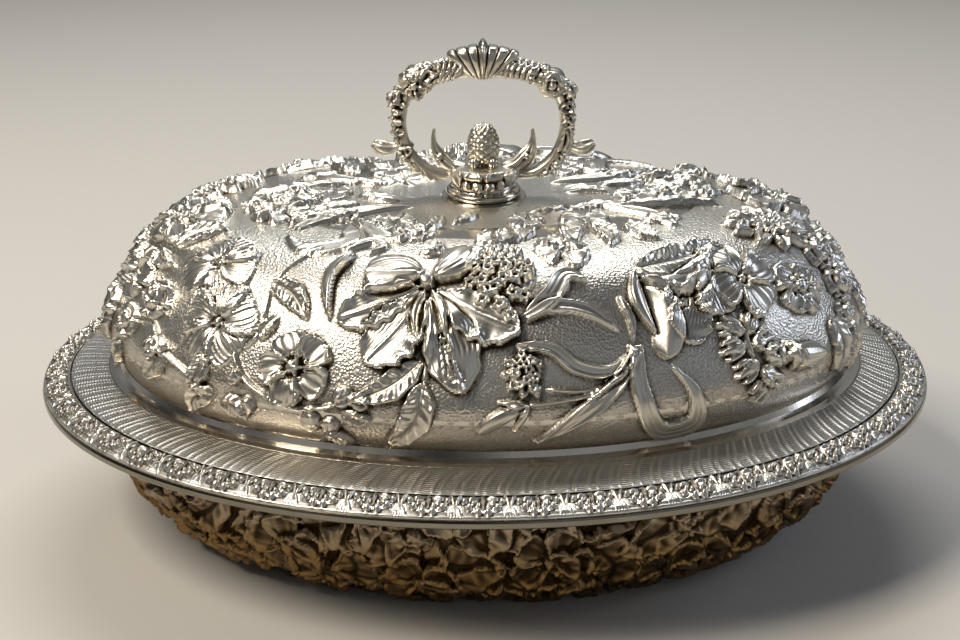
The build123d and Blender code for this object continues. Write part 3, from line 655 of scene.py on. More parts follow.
def work_bowl(r):
    """Crumpled leaves and cupped flowers close together all round the bowl, which the flowers go round
    high and low in turn."""
    chance = np.random.default_rng(7)
    flowers = 16
    leaves = 14 * flowers
    leaf_feet = (68, 22, 46, 8, 58, 34, 15)
    crumpled = dict(tip=1.6, rib=-0.7, fold=1.8, rim=0.5, veins=6, ruffle=(2.5, 1.2), wave=0.08, soft=0.8)
    for k in range(leaves):
        a = r.turn * k / leaves
        u = leaf_feet[k % len(leaf_feet)] + chance.uniform(-4, 4)
        way = chance.uniform(0, TURN)
        reach = chance.uniform(22, 34)
        tip_at = (a + reach * math.cos(way), np.clip(u + reach * math.sin(way), 3, 72))
        path = [(a, u), (a + 0.5 * (tip_at[0] - a) + 5, 0.5 * (u + tip_at[1])), tip_at]
        r.blade(path, chance.uniform(16, 23), 1.4, lean=chance.uniform(-1.6, 1.6), **crumpled)
    for k in range(flowers):
        a = r.turn * (k + 0.5) / flowers
        u = (49, 34)[k % 2]
        r.blossom((a, u), 15, 5, turn=chance.uniform(0, 72), high=2.0, streaks=6, curl=2.0)
        r.leaf((a - 3, u + 4), (a + chance.uniform(6, 16), u - 12), 12, 2.4, bend=0.2, curl=2.0)
        r.rose((a, (24, 60)[k % 2]), 6.5, 2.6, turn=40 * k)


def settle(r, limit, fade):
    """Holds the highest places under a soft limit and fades the relief out where it has to end."""
    high = np.maximum(r.height - limit, 0.0)
    r.height = (np.minimum(r.height, limit) + 1.6 * (1 - np.exp(-high / 1.6))) * fade + 0.15


# ---- From a relief to meshes -------------------------------------------------------------------


def new_object(name, data):
    """An object in the scene."""
    made = bpy.data.objects.new(name, data)
    bpy.context.scene.collection.objects.link(made)
    return made


def mesh_object(name, points, tables, shade=None):
    """A smooth mesh object in metres, from points in millimetres and tables of faces. A grid of shade has a
    value for each of the first points, and the rest have none."""
    mesh = bpy.data.meshes.new(name)
    mesh.vertices.add(len(points))
    mesh.vertices.foreach_set("co", (np.asarray(points, np.float32) * MM).ravel())
    corners = np.concatenate([table.ravel() for table in tables])
    sizes = np.concatenate([np.full(len(table), table.shape[1]) for table in tables])
    mesh.loops.add(len(corners))
    mesh.loops.foreach_set("vertex_index", corners.astype(np.int32))
    mesh.polygons.add(len(sizes))
    mesh.polygons.foreach_set("loop_start", np.concatenate([[0], np.cumsum(sizes)[:-1]]).astype(np.int32))
    mesh.update(calc_edges=True)
    mesh.polygons.foreach_set("use_smooth", np.ones(len(sizes), bool))
    for key, grid in (shade or {}).items():
        values = np.zeros(len(points), np.float32)
        values[: grid.size] = grid.ravel()
        mesh.attributes.new(key, "FLOAT", "POINT").data.foreach_set("value", values)
    mesh.validate()
    return new_object(name, mesh)


def quads(index):
    """Quads between the points whose numbers stand in a grid."""
    corners = [index[:-1, :-1], index[:-1, 1:], index[1:, 1:], index[1:, :-1]]
    return np.stack([corner.ravel() for corner in corners], axis=1)


def grid_faces(rows, columns, first=0):
    """Quads of a grid of points that are numbered row by row."""
    return quads(first + np.arange(rows * columns).reshape(rows, columns))


def skin(name, r, rows, columns):
    """A closed skin over part of a relief, with its back inside the plain wall."""
    front = r.points + r.height[..., None] * r.out
    front[..., 2] = np.maximum(front[..., 2], LOWEST)
    back = r.points - SKIN * r.out
    hollow = r.hollow() * (1 - 0.5 * r.ground)
    own = np.ix_(rows, columns)
    front = front[own]
    coarse_rows = np.unique(np.append(np.arange(0, len(rows), BACK_STEP), len(rows) - 1))
    coarse_columns = np.unique(np.append(np.arange(0, len(columns), BACK_STEP), len(columns) - 1))
    back = back[np.ix_(rows[coarse_rows], columns[coarse_columns])]
    points = [front.reshape(-1, 3), back.reshape(-1, 3)]
    faces = [grid_faces(len(rows), len(columns))]
    under = grid_faces(len(coarse_rows), len(coarse_columns), front.shape[0] * front.shape[1])
    faces.append(under[:, ::-1])
    first = sum(len(p) for p in points)
    for turned, flip in ((False, 0), (False, -1), (True, 0), (True, -1)):
        fine = front[:, flip] if turned else front[flip]
        steps = coarse_rows if turned else coarse_columns
        coarse = back[:, flip] if turned else back[flip]
        low = np.stack([np.interp(np.arange(len(fine)), steps, coarse[:, i]) for i in range(3)], axis=1)
        strip = grid_faces(2, len(fine), first)
        outward = (flip == -1) != turned
        faces.append(strip if not outward else strip[:, ::-1])
        points += [fine, low]
        first += 2 * len(fine)
    shade = {"hollow": hollow[own], "ground": r.ground[own]}
    return mesh_object(name, np.concatenate(points), faces, shade)


def solid(name, r):
    """A closed piece from a relief whose rows go right round it."""
    rows, columns = r.height.shape
    front = r.points + r.height[..., None] * r.out
    points = np.concatenate([front.reshape(-1, 3), [front[0].mean(axis=0), front[-1].mean(axis=0)]])
    index = np.arange(rows * columns).reshape(rows, columns)
    index = np.concatenate([index, index[:, :1]], axis=1)
    low = [index[0, 1:], index[0, :-1], np.full(columns, rows * columns)]
    top = [index[-1, :-1], index[-1, 1:], np.full(columns, rows * columns + 1)]
    tables = [quads(index), np.stack(low, axis=1), np.stack(top, axis=1)]
    return mesh_object(name, points, tables, {"hollow": 1.8 * r.hollow(), "ground": 0 * r.ground})


def skins(name, r, bands, parts=4):
    """Skins over all of a relief: bands are (first up, last up, step), each cut into parts."""
    made = []
    columns = r.height.shape[1]
    for band, (start, stop, step) in enumerate(bands):
        low = int(np.searchsorted(r.up, start))
        high = int(np.searchsorted(r.up, stop))
        high = min(high, len(r.up) - 1)
        rows = np.unique(np.append(np.arange(low, high, step), high))
        for part in range(parts):
            first = columns * part // parts
            last = columns * (part + 1) // parts
            cut = np.mod(np.arange(first, last + 1, step), columns)
            made.append(skin(f"{name}_{band + 1}_{part + 1}", r, rows, cut))
    return made


# ---- Materials ---------------------------------------------------------------------------------

# Sizes of the patterns on the metal
STAIN_SIZE = 35.714  # a cloud of stain on the darkened silver
TARNISH_SIZE = 25.0  # a cloud of tarnish on the polished silver
PUNCH_PITCH = 0.9524  # from one punch mark to the next
GRAIN_SIZE = 1.1111  # the skin of worked metal, drawn as coarse as it needs to show
WIPING_SIZE = 2.8571  # marks of the cloth


def linear(code):
    """An sRGB hex colour as linear red, green, blue and alpha."""
    parts = [int(code[i : i + 2], 16) / 255 for i in (1, 3, 5)]
    return [p / 12.92 if p <= 0.04045 else ((p + 0.055) / 1.055) ** 2.4 for p in parts] + [1.0]


def add_node(tree, kind, links=None, **settings):
    """A node with its settings, and its inputs set or linked. A node given as an input stands for its first
    output."""
    made = tree.nodes.new(kind)
    for name, value in settings.items():
        setattr(made, name, value)
    for name, value in (links or {}).items():
        if isinstance(value, bpy.types.Node):
            value = value.outputs[0]
        if isinstance(value, bpy.types.NodeSocket):
            tree.links.new(value, made.inputs[name])
        else:
            made.inputs[name].default_value = value
    return made


def calculated(tree, operation, *values, kind="ShaderNodeMath"):
    """A node that calculates with its inputs in their order."""
    return add_node(tree, kind, dict(enumerate(values)), operation=operation)


def mixed(tree, factor, first, second):
    """A colour between two."""
    inputs = {"Factor": factor, "A": first, "B": second}
    return add_node(tree, "ShaderNodeMix", inputs, data_type="RGBA").outputs["Result"]


def clouds(tree, place, size, detail, roughness=0.5):
    """Soft noise of a size."""
    inputs = {"Vector": place, "Scale": 1 / (size * MM), "Detail": detail, "Roughness": roughness}
    return add_node(tree, "ShaderNodeTexNoise", inputs).outputs["Fac"]


def new_material(name):
    """An empty material and its nodes."""
    made = bpy.data.materials.new(name)
    made.use_nodes = True
    made.node_tree.nodes.clear()
    return made, made.node_tree


def metal(tree, colour, rough, bump):
    """The end of a metal's nodes."""
    inputs = {"Base Color": colour, "Roughness": rough, "Metallic": 1.0, "Normal": bump}
    shader = add_node(tree, "ShaderNodeBsdfPrincipled", inputs)
    add_node(tree, "ShaderNodeOutputMaterial", {"Surface": shader})


def oxidised_silver(name, bright, shadow, low_shade_colour, low_shade, punch_strength, smoothest=0.3):
    """Sterling silver darkened and wiped: bright on what stands out and brown to black where the cloth
    doesn't reach, browner low on the sides as painted shade, with punch marks on the ground and ladder
    lines where a border has them."""
    made, tree = new_material(name)
    place = add_node(tree, "ShaderNodeTexCoord").outputs["Object"]
    hollow, ground, rows = (
        add_node(tree, "ShaderNodeAttribute", attribute_name=key).outputs["Fac"]
        for key in ("hollow", "ground", "rows")
    )
    cells = {"Vector": place, "Scale": 1 / (PUNCH_PITCH * MM), "Randomness": 0.9}
    punch = add_node(tree, "ShaderNodeTexVoronoi", cells).outputs["Distance"]

    # What is tooled into the ground: punch marks, or rungs where the border gives its rows
    rung = calculated(tree, "SINE", calculated(tree, "MULTIPLY", rows, TURN / LADDER_PITCH))
    is_laddered = calculated(tree, "GREATER_THAN", rows, 0.01)
    marks = add_node(tree, "ShaderNodeMix", {"Factor": is_laddered, "A": punch, "B": rung})
    on_ground = calculated(tree, "MULTIPLY", marks.outputs["Result"], ground)

    # How dark the metal is: by hollow, ground and cloud of stain, and by painted shade where it lies low,
    # less on the marks' crests
    height = add_node(tree, "ShaderNodeSeparateXYZ", {0: place}).outputs["Z"]
    # Painted shade: a share that grows from 100 mm down to 25 mm high, darker and browner low on the sides
    low_shade_mask = add_node(
        tree,
        "ShaderNodeMapRange",
        {"Value": height, "From Min": 100 * MM, "From Max": 25 * MM, "To Min": 0.0, "To Max": 1.0},
    )
    total = calculated(tree, "ADD", clouds(tree, place, STAIN_SIZE, 6.0, 0.65), -0.4)
    shares = ((hollow, 1.15), (on_ground, -0.42), (ground, 0.3), (low_shade_mask, low_shade))
    for cause, share in shares:
        total = calculated(tree, "ADD", total, calculated(tree, "MULTIPLY", cause, share))
    reach = {"Value": total, "From Min": 0.0, "From Max": 1.15}
    dark = add_node(tree, "ShaderNodeMapRange", reach, interpolation_type="SMOOTHSTEP")
    # Painted shade: the bright colour turns to the brown low tone towards the bottom
    bright_with_low_shade = mixed(tree, low_shade_mask, linear(bright), linear(low_shade_colour))
    colour = mixed(tree, dark, bright_with_low_shade, linear(shadow))

    # The skin of the metal under the cloth: what is dark is also duller
    grain = calculated(tree, "MULTIPLY", clouds(tree, place, GRAIN_SIZE, 3.0), 0.25)
    tooled = calculated(tree, "ADD", on_ground, grain)
    pressed = {"Strength": punch_strength, "Distance": 0.35 * MM, "Height": tooled}
    rough = add_node(tree, "ShaderNodeMapRange", {"Value": dark, "To Min": smoothest, "To Max": 0.52})
    metal(tree, colour, rough, add_node(tree, "ShaderNodeBump", pressed))
    return made


def polished_silver(name, bright, dull):
    """Sterling silver, planished and hand polished: nearly a mirror, with fine wiping marks and clouds of
    tarnish."""
    made, tree = new_material(name)
    place = add_node(tree, "ShaderNodeTexCoord").outputs["Object"]
    tarnish = clouds(tree, place, TARNISH_SIZE, 5.0, 0.6)
    colour = mixed(tree, tarnish, linear(bright), linear(dull))
    rough = add_node(tree, "ShaderNodeMapRange", {"Value": tarnish, "To Min": 0.1, "To Max": 0.26})
    wiping = {"Strength": 0.12, "Distance": 0.4 * MM, "Height": clouds(tree, place, WIPING_SIZE, 4.0)}
    metal(tree, colour, rough, add_node(tree, "ShaderNodeBump", wiping))
    return made


# Raised and chased by hand from the sheet: painted shade turns it brown low down
CHASED = oxidised_silver("chased_silver", "#dedacf", "#3a2d1b", "#8d7148", low_shade=0.5, punch_strength=0.5)
# Struck by rolls as a strip: even and bright, dark only in its sunk lines
ROLLED = oxidised_silver("rolled_silver", "#d3d0c8", "#453c2e", "#d3d0c8", 0.0, 0.4, smoothest=0.34)
# Cast and then chased: bright, with dark in the undercuts
CAST = oxidised_silver("cast_silver", "#d9d3c5", "#352a1a", "#d9d3c5", 0.0, punch_strength=0.3)
# Plain sheet, planished and polished
POLISHED = polished_silver("polished_silver", "#e2ddd3", "#c2b9a8")
# The brim and edge band under the cover's edge: a darker copy of the polished silver, as painted shade
SHADED_BRIM = polished_silver("brim_shade_silver", "#a09a8c", "#6d6657")


def dress(piece, material, body):
    """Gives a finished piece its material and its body."""
    piece.data.materials.clear()
    piece.data.materials.append(material)
    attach(piece, body)
    return piece


# ---- Borders that repeat round the rim ---------------------------------------------------------


def border_tree():
    """Nodes that repeat a unit round an oval, bent to it: the unit's X runs round from 0 to 1, its Y points
    in from the oval and its Z up."""
    tree = bpy.data.node_groups.new("oval_border", "GeometryNodeTree")
    inputs = (
        ("Unit", "NodeSocketObject"),
        ("Count", "NodeSocketInt"),
        ("Half Length", "NodeSocketFloat"),
        ("Half Width", "NodeSocketFloat"),
        ("Material", "NodeSocketMaterial"),
    )
    for name, kind in inputs:
        tree.interface.new_socket(name, in_out="INPUT", socket_type=kind)
    tree.interface.new_socket("Geometry", in_out="OUTPUT", socket_type="NodeSocketGeometry")
    given = add_node(tree, "NodeGroupInput").outputs
    halves = {"X": given["Half Length"], "Y": given["Half Width"], "Z": 1.0}
    sizes = add_node(tree, "ShaderNodeCombineXYZ", halves)
    circle = add_node(tree, "GeometryNodeCurvePrimitiveCircle", {"Resolution": 720, "Radius": 1.0})
    oval = add_node(tree, "GeometryNodeTransform", {"Geometry": circle.outputs["Curve"], "Scale": sizes})
    rim = oval.outputs["Geometry"]
    round_it = add_node(tree, "GeometryNodeCurveLength", {"Curve": rim}).outputs["Length"]
    pitch = calculated(tree, "DIVIDE", round_it, given["Count"])
    step = add_node(tree, "ShaderNodeCombineXYZ", {"X": pitch, "Y": 0.0, "Z": 0.0})
    stretch = add_node(tree, "ShaderNodeCombineXYZ", {"X": pitch, "Y": 1.0, "Z": 1.0})
    places = add_node(tree, "GeometryNodeMeshLine", {"Count": given["Count"], "Offset": step})
    unit = add_node(tree, "GeometryNodeObjectInfo", {"Object": given["Unit"]})
    units = {"Points": places, "Instance": unit.outputs["Geometry"], "Scale": stretch}
    row = add_node(tree, "GeometryNodeInstanceOnPoints", units)
    strip = add_node(tree, "GeometryNodeRealizeInstances", {"Geometry": row})
    where = add_node(tree, "ShaderNodeSeparateXYZ", {0: add_node(tree, "GeometryNodeInputPosition")})
    sampled = {"Curves": rim, "Length": where.outputs["X"]}
    at = add_node(tree, "GeometryNodeSampleCurve", sampled, mode="LENGTH", data_type="FLOAT")
    ahead = at.outputs["Tangent"]
    vector = dict(kind="ShaderNodeVectorMath")
    inward = calculated(tree, "CROSS_PRODUCT", (0.0, 0.0, 1.0), ahead, **vector)
    scaled = {0: inward, "Scale": where.outputs["Y"]}
    moved_in = add_node(tree, "ShaderNodeVectorMath", scaled, operation="SCALE")
    lifted = add_node(tree, "ShaderNodeCombineXYZ", {"X": 0.0, "Y": 0.0, "Z": where.outputs["Z"]})
    flat = calculated(tree, "ADD", at.outputs["Position"], moved_in, **vector)
    bent = calculated(tree, "ADD", flat, lifted, **vector)
    laid = add_node(tree, "GeometryNodeSetPosition", {"Geometry": strip, "Position": bent})
    joined = add_node(tree, "GeometryNodeMergeByDistance", {"Geometry": laid, "Distance": 0.02 * MM})
    again = add_node(tree, "GeometryNodeRealizeInstances", {"Geometry": joined})
    dressing = {"Geometry": again, "Material": given["Material"]}
    add_node(tree, "NodeGroupOutput", {"Geometry": add_node(tree, "GeometryNodeSetMaterial", dressing)})
    return tree


def border(name, r, profile, count, inset):
    """The middle unit of a strip, laid on a profile of (in from the edge, height) and repeated round an oval
    that lies inset within the rim."""
    rows, columns = r.height.shape
    cells = (columns - 1) // 3
    keep = slice(cells, 2 * cells + 1)
    base = np.interp(r.up, [p[0] for p in profile], [p[1] for p in profile])
    x = np.repeat([np.arange(cells + 1) / cells / MM], rows, axis=0)
    y = np.repeat(r.up[:, None], cells + 1, axis=1)
    top = np.stack([x, y, base[:, None] + r.height[:, keep]], axis=2)
    under = top[[0, -1]].copy()
    under[..., 2] = (base[[0, -1]] - SKIN)[:, None]
    points = np.concatenate([top, under]).reshape(-1, 3)
    index = np.arange((rows + 2) * (cells + 1)).reshape(rows + 2, cells + 1)
    ring = np.concatenate([index[:rows], index[[rows + 1, rows, 0]]])
    grids = {"hollow": 2.0 * r.hollow(), "ground": r.ground, "rows": r.rows}
    shade = {key: grid[:, keep] for key, grid in grids.items()}
    unit = mesh_object(name + "_unit", points, [quads(ring)], shade)
    host = new_object(name + "_nodes", bpy.data.meshes.new(name + "_nodes"))
    nodes = host.modifiers.new(name, "NODES")
    nodes.node_group = BORDER_NODES
    values = {
        "Unit": unit,
        "Count": count,
        "Half Length": (RIM_A - inset) * MM,
        "Half Width": (RIM_B - inset) * MM,
        "Material": ROLLED,
    }
    for socket in BORDER_NODES.interface.items_tree:
        if socket.in_out == "INPUT":
            nodes[socket.identifier] = values[socket.name]
    graph = bpy.context.evaluated_depsgraph_get()
    bent = host.evaluated_get(graph)
    mesh = bpy.data.meshes.new_from_object(bent, preserve_all_data_layers=True, depsgraph=graph)
    made = new_object(name, mesh)
    bpy.data.objects.remove(host)
    bpy.data.objects.remove(unit)
    return made


def palmette_unit():
    """One fan with a spike up its middle in a string of pearls, and a sheaf of reeds between it and the
    next."""
    wide = 19.0
    r = Relief(*strip_surface(wide, 9.5, 56))
    petal = dict(outline=petal_outline, dome=0.6, soft=0.5)
    for k in range(-1, 5):
        x = wide * k
        r.knob((x, 8.8), 5.8, 0.3, base=0.1)
        for turn in (-75, -50, -25, 25, 50, 75):
            s = math.sin(math.radians(turn))
            c = math.cos(math.radians(turn))
            r.blade([(x + 0.6 * s, 8.8 - 0.6 * c), (x + 5.4 * s, 8.8 - 5.2 * c)], 1.8, 0.7, **petal)
        r.blade([(x, 9.6), (x, 6.5), (x, 2.8)], 1.7, 1.1, dome=0.6, soft=0.5)
        for turn in (-78, -47, -16, 16, 47, 78):
            s = math.sin(math.radians(turn))
            c = math.cos(math.radians(turn))
            r.knob((x + 6.9 * s, 8.0 - 6.5 * c), 1.25, 1.5, base=0.2)
        middle = x + 0.5 * wide
        for side in (-1.0, -0.5, 0.0, 0.5, 1.0):
            path = [(middle + 0.4 * side, 4.8), (middle + 2.3 * side, 0.2)]
            r.blade(path, 1.1, 0.3, strap_outline, dome=0.4, soft=0.5)
        for side in (-1, 1):
            path = [(middle + 0.4 * side, 4.6), (middle + 0.8 * side, 7.0), (middle + 2.2 * side, 9.3)]
            r.blade(path, 2.0, 0.7, **petal)
    r.rows = 0 * r.height
    r.ground = 0 * r.ground
    outer_bead = 0.5 * np.exp(-(((r.up[:, None] - 0.35) / 0.3) ** 2))
    r.height = np.minimum(r.height, 1.8) + 0.1 + outer_bead
    return r


def flute_unit():
    """Two thin curved ribs of the cover's flange and the laddered ground beside them."""
    wide = 7.6
    deep = 15.2
    r = Relief(*strip_surface(wide, deep, 19))
    share = r.up[:, None] / deep
    phase = np.mod((r.along[None, :] - 6.0 * share**1.8) / wide, 1.0)
    ribs = sum(np.exp(-(((phase - at) * wide / 0.6) ** 2)) for at in (0.2, 0.58))
    ends = ease(r.up[:, None] / 1.6) * ease((deep - r.up[:, None]) / 1.2)
    r.ground = 0.5 * (1 - np.clip(ribs, 0, 1))
    r.rows = 5 + r.up[:, None] + 0.2 * r.along[None, :]
    ladder = 0.5 + 0.5 * np.cos(TURN * r.rows / LADDER_PITCH)
    r.height = 0.12 + (0.28 * ribs + 0.16 * r.ground * ladder) * ends
    return r


# ---- Handle: its castings, placed by x and z in the part's own frame ---------------------------


def knop(levels, at, pitch):
    """A relief on a turned form, whose ovals are given from its foot, moved to a place. A level of two
    values is round."""
    ovals = [level if len(level) == 3 else (level[0], level[0], level[1]) for level in levels]
    points, along, up = oval_surface(ovals, pitch)
    return Relief(points + np.array(at), along, up)


def handle_loop():
    """The cast loop: plain inside, with leaves, ribs, beads and small rings over its front, back and outer
    edge."""
    half = [(9, 143.9), (19, 143.3), (28, 150), (32.2, 165.1), (28.6, 177.0), (16.6, 183.6), (0, 184.6)]
    path = [(-x, z) for x, z in half] + [(x, z) for x, z in half[-2::-1]]
    side = [(1.9, 2.4), (2.2, 3.0), (2.3, 3.2), (2.5, 3.5), (3.6, 4.4), (3.7, 4.3)]
    halves = side + [(3.0, 4.0)] + side[::-1]
    r = Relief(*bar_surface(path, halves, 0.32, 80))
    for face in (1, -1):
        def put(a, u):
            return (a * face, u)

        for k in range(9):
            u = 8 + 5.2 * k
            r.leaf(put(1.2, u), put(5.0, u + 7), 3.8, 0.7, bend=0.15, veins=3, tip=0.8)
            r.leaf(put(2.4, u + 2), put(0.2, u + 8), 3.0, 0.8, veins=2, tip=1.0)
            u = 150 - 5.2 * k
            r.leaf(put(1.6, u), put(4.6, u - 7), 4.0, 0.7, bend=-0.15, veins=3, tip=0.8)
            r.leaf(put(2.6, u - 2), put(0.4, u - 8), 3.2, 0.8, veins=2, tip=1.0)
        for k in range(5):
            u = 62 + 2.0 * k
            path = [put(8.2, u - 2), put(4.6, u + 2), put(1.5, u + 2.4), put(-0.5, u + 0.4)]
            r.blade(path, 2.4, 0.5, strap_outline, dome=0.8, soft=0.7)
        r.leaf(put(6.5, 50), put(4.8, 64), 6.0, 1.2, bend=0.1, veins=4, tip=1.0)
        r.leaf(put(1.0, 50), put(1.6, 63), 5.0, 1.0, bend=-0.1, veins=4, tip=1.0)
        for k in range(5):
            u = 89 + 2.2 * k
            r.blade([put(7.6, u), put(4.0, u + 2.0), put(0.2, u + 3.4)], 3.6, 0.7, dome=0.8, soft=0.7)
        low_rings = ((4.0, 25, 2.5), (4.6, 33, 1.8))
        high_rings = ((6.4, 100, 1.7), (6.6, 104, 1.4), (4.0, 119, 2.6), (5.0, 125.5, 2.0))
        for a, u, size in low_rings + high_rings:
            r.knob(put(a, u), size, 0.8, base=1.3, hole=0.45)
        for a, u, size in ((4.6, 37, 1.7), (3.2, 41, 2.0), (5.0, 44, 1.5)):
            r.knob(put(a, u), size, 0.9, base=0.9, layers=1.0)
        for side in (-1.6, 0, 1.6):
            path = [put(3.8 + side, 129), put(3.6 + 1.3 * side, 137)]
            r.blade(path, 2.0, 1.4, petal_outline, dome=0.8, soft=0.5)
        r.leaf(put(2.0, 110), put(0.5, 117.5), 5.0, 1.8, tip=1.6, veins=4)
        r.leaf(put(2.5, 48), put(0.5, 41), 5.0, 1.6, tip=1.6, veins=4)
    return solid("handle_loop_cast", r)


def handle_crest():
    """The melon-ribbed crest over the loop, with a raised rib up its middle that ends in a knuckle."""
    levels = (
        (3.4, 3.4, 181.6),
        (8.4, 5.0, 183.8),
        (11.6, 5.4, 186.6),
        (13.4, 5.4, 189.4),
        (13.2, 5.1, 190.8),
        (9.0, 4.4, 192.4),
        (4.0, 3.4, 193.4),
        (1.0, 1.0, 193.8),
    )
    r = knop(levels, (0, 0, 0), 0.3)
    x = r.points[..., 0]
    fan = np.arctan2(x, r.points[..., 2] - 178.0) / math.radians(52)
    lobe = np.mod(3.5 * fan + 0.5, 1.0) - 0.5
    r.height += 0.55 * np.sqrt(1 - (1.9 * lobe) ** 2) - 0.9 * np.exp(-(((0.5 - np.abs(lobe)) / 0.07) ** 2))
    r.height += 1.9 * np.exp(-((x / 1.25) ** 2)) * ease((r.up[:, None] - 3) / 9)
    return solid("handle_crest_cast", r)


def handle_rose(name, x, wound):
    """A blossom at the loop's shoulder, open or wound, on the front and the back."""
    levels = (
        (0.6, 0.6, 173.6),
        (3.6, 3.4, 175.0),
        (5.2, 4.6, 177.6),
        (5.4, 4.9, 179.4),
        (5.0, 4.6, 181.4),
        (3.4, 3.2, 183.8),
        (0.6, 0.6, 184.8),
    )
    r = knop(levels, (x, 0, 0), 0.3)
    middle = 0.5 * r.up[-1]
    for around in (0.0, 0.5 * r.turn):
        if wound:
            r.knob((around, middle), 5.2, 1.0, base=0.8, swirl=1.0, layers=2.6)
            r.knob((around, middle), 1.3, 0.6, base=1.6)
        else:
            r.blossom((around, middle), 6.0, 5, turn=20, high=1.4, heart=0.25, streaks=3, curl=0.6)
    return solid(name, r)


def handle_spur(name, side):
    """A short scroll out from the loop that ends in a lobed shell."""
    middle_line = ((30.5, 158), (33.5, 154.8), (37.5, 153.4), (41, 154.2), (42.8, 155.6))
    path = [(side * x, z) for x, z in middle_line]
    if side < 0:
        path = path[::-1]
    ends = [(2.6, 2.8), (1.9, 2.2), (1.8, 2.4), (2.6, 3.0), (2.5, 2.9), (1.2, 1.6)]
    r = Relief(*bar_surface(path, ends if side > 0 else ends[::-1], 0.3, 48))
    out = r.up if side > 0 else r.up[-1] - r.up
    flare = ease((out[:, None] - 0.45 * r.up[-1]) / (0.5 * r.up[-1]))
    angle = r.along[None, :] / r.along.max() * math.pi
    r.height += flare * (0.2 + 0.4 * np.cos(4 * angle)) + 0.2 * (1 - flare) * np.cos(4 * angle)
    return solid(name, r)


def handle_leaf(name, side, thick):
    """A horn-shaped leaf that rises beside the cone, with a bead at its foot."""
    path = [(side * x, z) for x, z in ((8, 144.6), (13, 146.6), (17.6, 151.2), (19.4, 156), (19.2, 161.2))]
    halves = [(3.0, 3.4), (3.1 * thick, 3.6), (3.1 * thick, 3.0), (1.3 * thick, 1.3), (0.5, 0.5)]
    if side < 0:
        path = path[::-1]
        halves = halves[::-1]
    r = Relief(*bar_surface(path, halves, 0.3, 48))
    angle = r.along[None, :] / r.along.max() * math.pi
    r.height += 0.35 * np.cos(6 * angle) * np.sin(math.pi * r.up[:, None] / r.up[-1])
    for a in (0.25, -0.25):
        r.knob((a * r.turn, 0.5 * r.up[-1]), 1.5, 0.9, base=0.5)
    return solid(name, r)


def handle_cone():
    """The egg-shaped cone, scored into diamonds."""
    low_half = ((3.4, 147.8), (5.2, 149.4), (6.2, 152.2), (6.3, 154.6))
    levels = low_half + ((5.8, 157.6), (4.6, 160.4), (2.9, 162.4), (0.4, 163.5))
    r = knop(levels, (0, 0, 0), 0.25)
    turns = r.along[None, :] / r.turn
    rise = r.up[:, None] / 3.4
    one = np.abs(np.sin(math.pi * (9 * turns + rise)))
    other = np.abs(np.sin(math.pi * (9 * turns - rise)))
    r.height += 0.6 * np.sqrt(one * other) * ease((r.up[-1] - r.up[:, None]) / 2) - 0.3
    return solid("handle_cone_cast", r)


def handle_calyx():
    """The leafy cup on the foot: leaves all round, with a pair of ringed scrolls at the front and the
    back."""
    wall = ((10.6, 139.4), (11.8, 140.6), (12.8, 142.8), (13.2, 144.6))
    levels = wall + ((12.0, 146.0), (9.0, 146.6), (4.0, 146.8))
    r = knop(levels, (0, 0, 0), 0.33)
    for k in range(10):
        a = r.turn * (k + 0.5) / 10
        path = [(a, 0.5), (a, 4.0), (a, 8.0)]
        r.blade(path, 8.5, 0.5, petal_outline, cup=0.7, rib=-0.3, tip=0.5, streaks=3, soft=0.6)
    for middle in (0.0, 0.5 * r.turn):
        path = [(middle - 9, 2.6), (middle, 1.6), (middle + 9, 2.6)]
        r.blade(path, 5.0, 0.8, strap_outline, dome=0.4, soft=0.7)
        for side in (-1, 1):
            r.knob((middle + 2.6 * side, 2.2), 2.2, 0.9, base=1.0, hole=0.35)
            r.knob((middle + 7.2 * side, 3.0), 2.0, 0.9, base=0.8, swirl=side, layers=1.2)
    return solid("handle_calyx_cast", r)


def cone_lobe(name, angle):
    """One of the four round lobes that the cone sits between."""
    size = 2.3
    steps = np.radians(np.linspace(-88, 88, 9))
    levels = [(size * math.cos(t), size * math.sin(t)) for t in steps]
    r = knop(levels, (5.2 * math.cos(angle), 5.2 * math.sin(angle), 148.4), 0.35)
    r.height -= 0.35 * (np.abs(np.sin(1.5 * TURN * r.along[None, :] / r.turn)) < 0.12)
    return solid(name, r)


# ---- Cover and bowl ----------------------------------------------------------------------------

flank = 76.0  # how far up the cover its grid is fine
collar = 158.0  # how far up the flowers go, close to the handle's foot
crown_end = 173.0  # under the handle's foot
cover = Relief(*oval_surface(DOME_LEVELS, GRID))
work_cover(cover)
climb = cover.up[:, None]
settle(cover, 5.4, ease(climb / 2.5) * ease((collar - climb) / 12))
for piece in skins("cover_relief", cover, ((0.0, flank, 1), (flank, crown_end, 2))):
    dress(piece, CHASED, "cover")
    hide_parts(*STANDS_FOR.get(piece.name, ()))

bowl_power = 2 / BOWL_FULLNESS
curve_depth = BOWL_WALL_FOOT / math.sin(math.radians(BOWL_FLOOR_ANGLE)) ** bowl_power
bowl_levels = []
for angle in (BOWL_FLOOR_ANGLE, 44, 36, 28, 19, 10):
    closing = math.cos(math.radians(angle)) ** bowl_power
    drop = curve_depth * math.sin(math.radians(angle)) ** bowl_power
    bowl_levels.append((BOWL_A * closing, BOWL_B * closing, BOWL_WALL_FOOT - drop))
bowl_levels += [(BOWL_A, BOWL_B, BOWL_WALL_FOOT + 3), (BOWL_A, BOWL_B, BOWL_BRIM)]
bowl = Relief(*oval_surface(bowl_levels, GRID * 1.3))
work_bowl(bowl)
bowl_top = bowl.up[-1]
climb = bowl.up[:, None]
settle(bowl, 4.4, ease((climb - 2) / 14) * ease((bowl_top - climb) / 4))
for piece in skins("bowl_relief", bowl, ((0.8, bowl_top + 1, 1),)):
    dress(piece, CHASED, "dish")
    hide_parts(*STANDS_FOR.get(piece.name, ()))

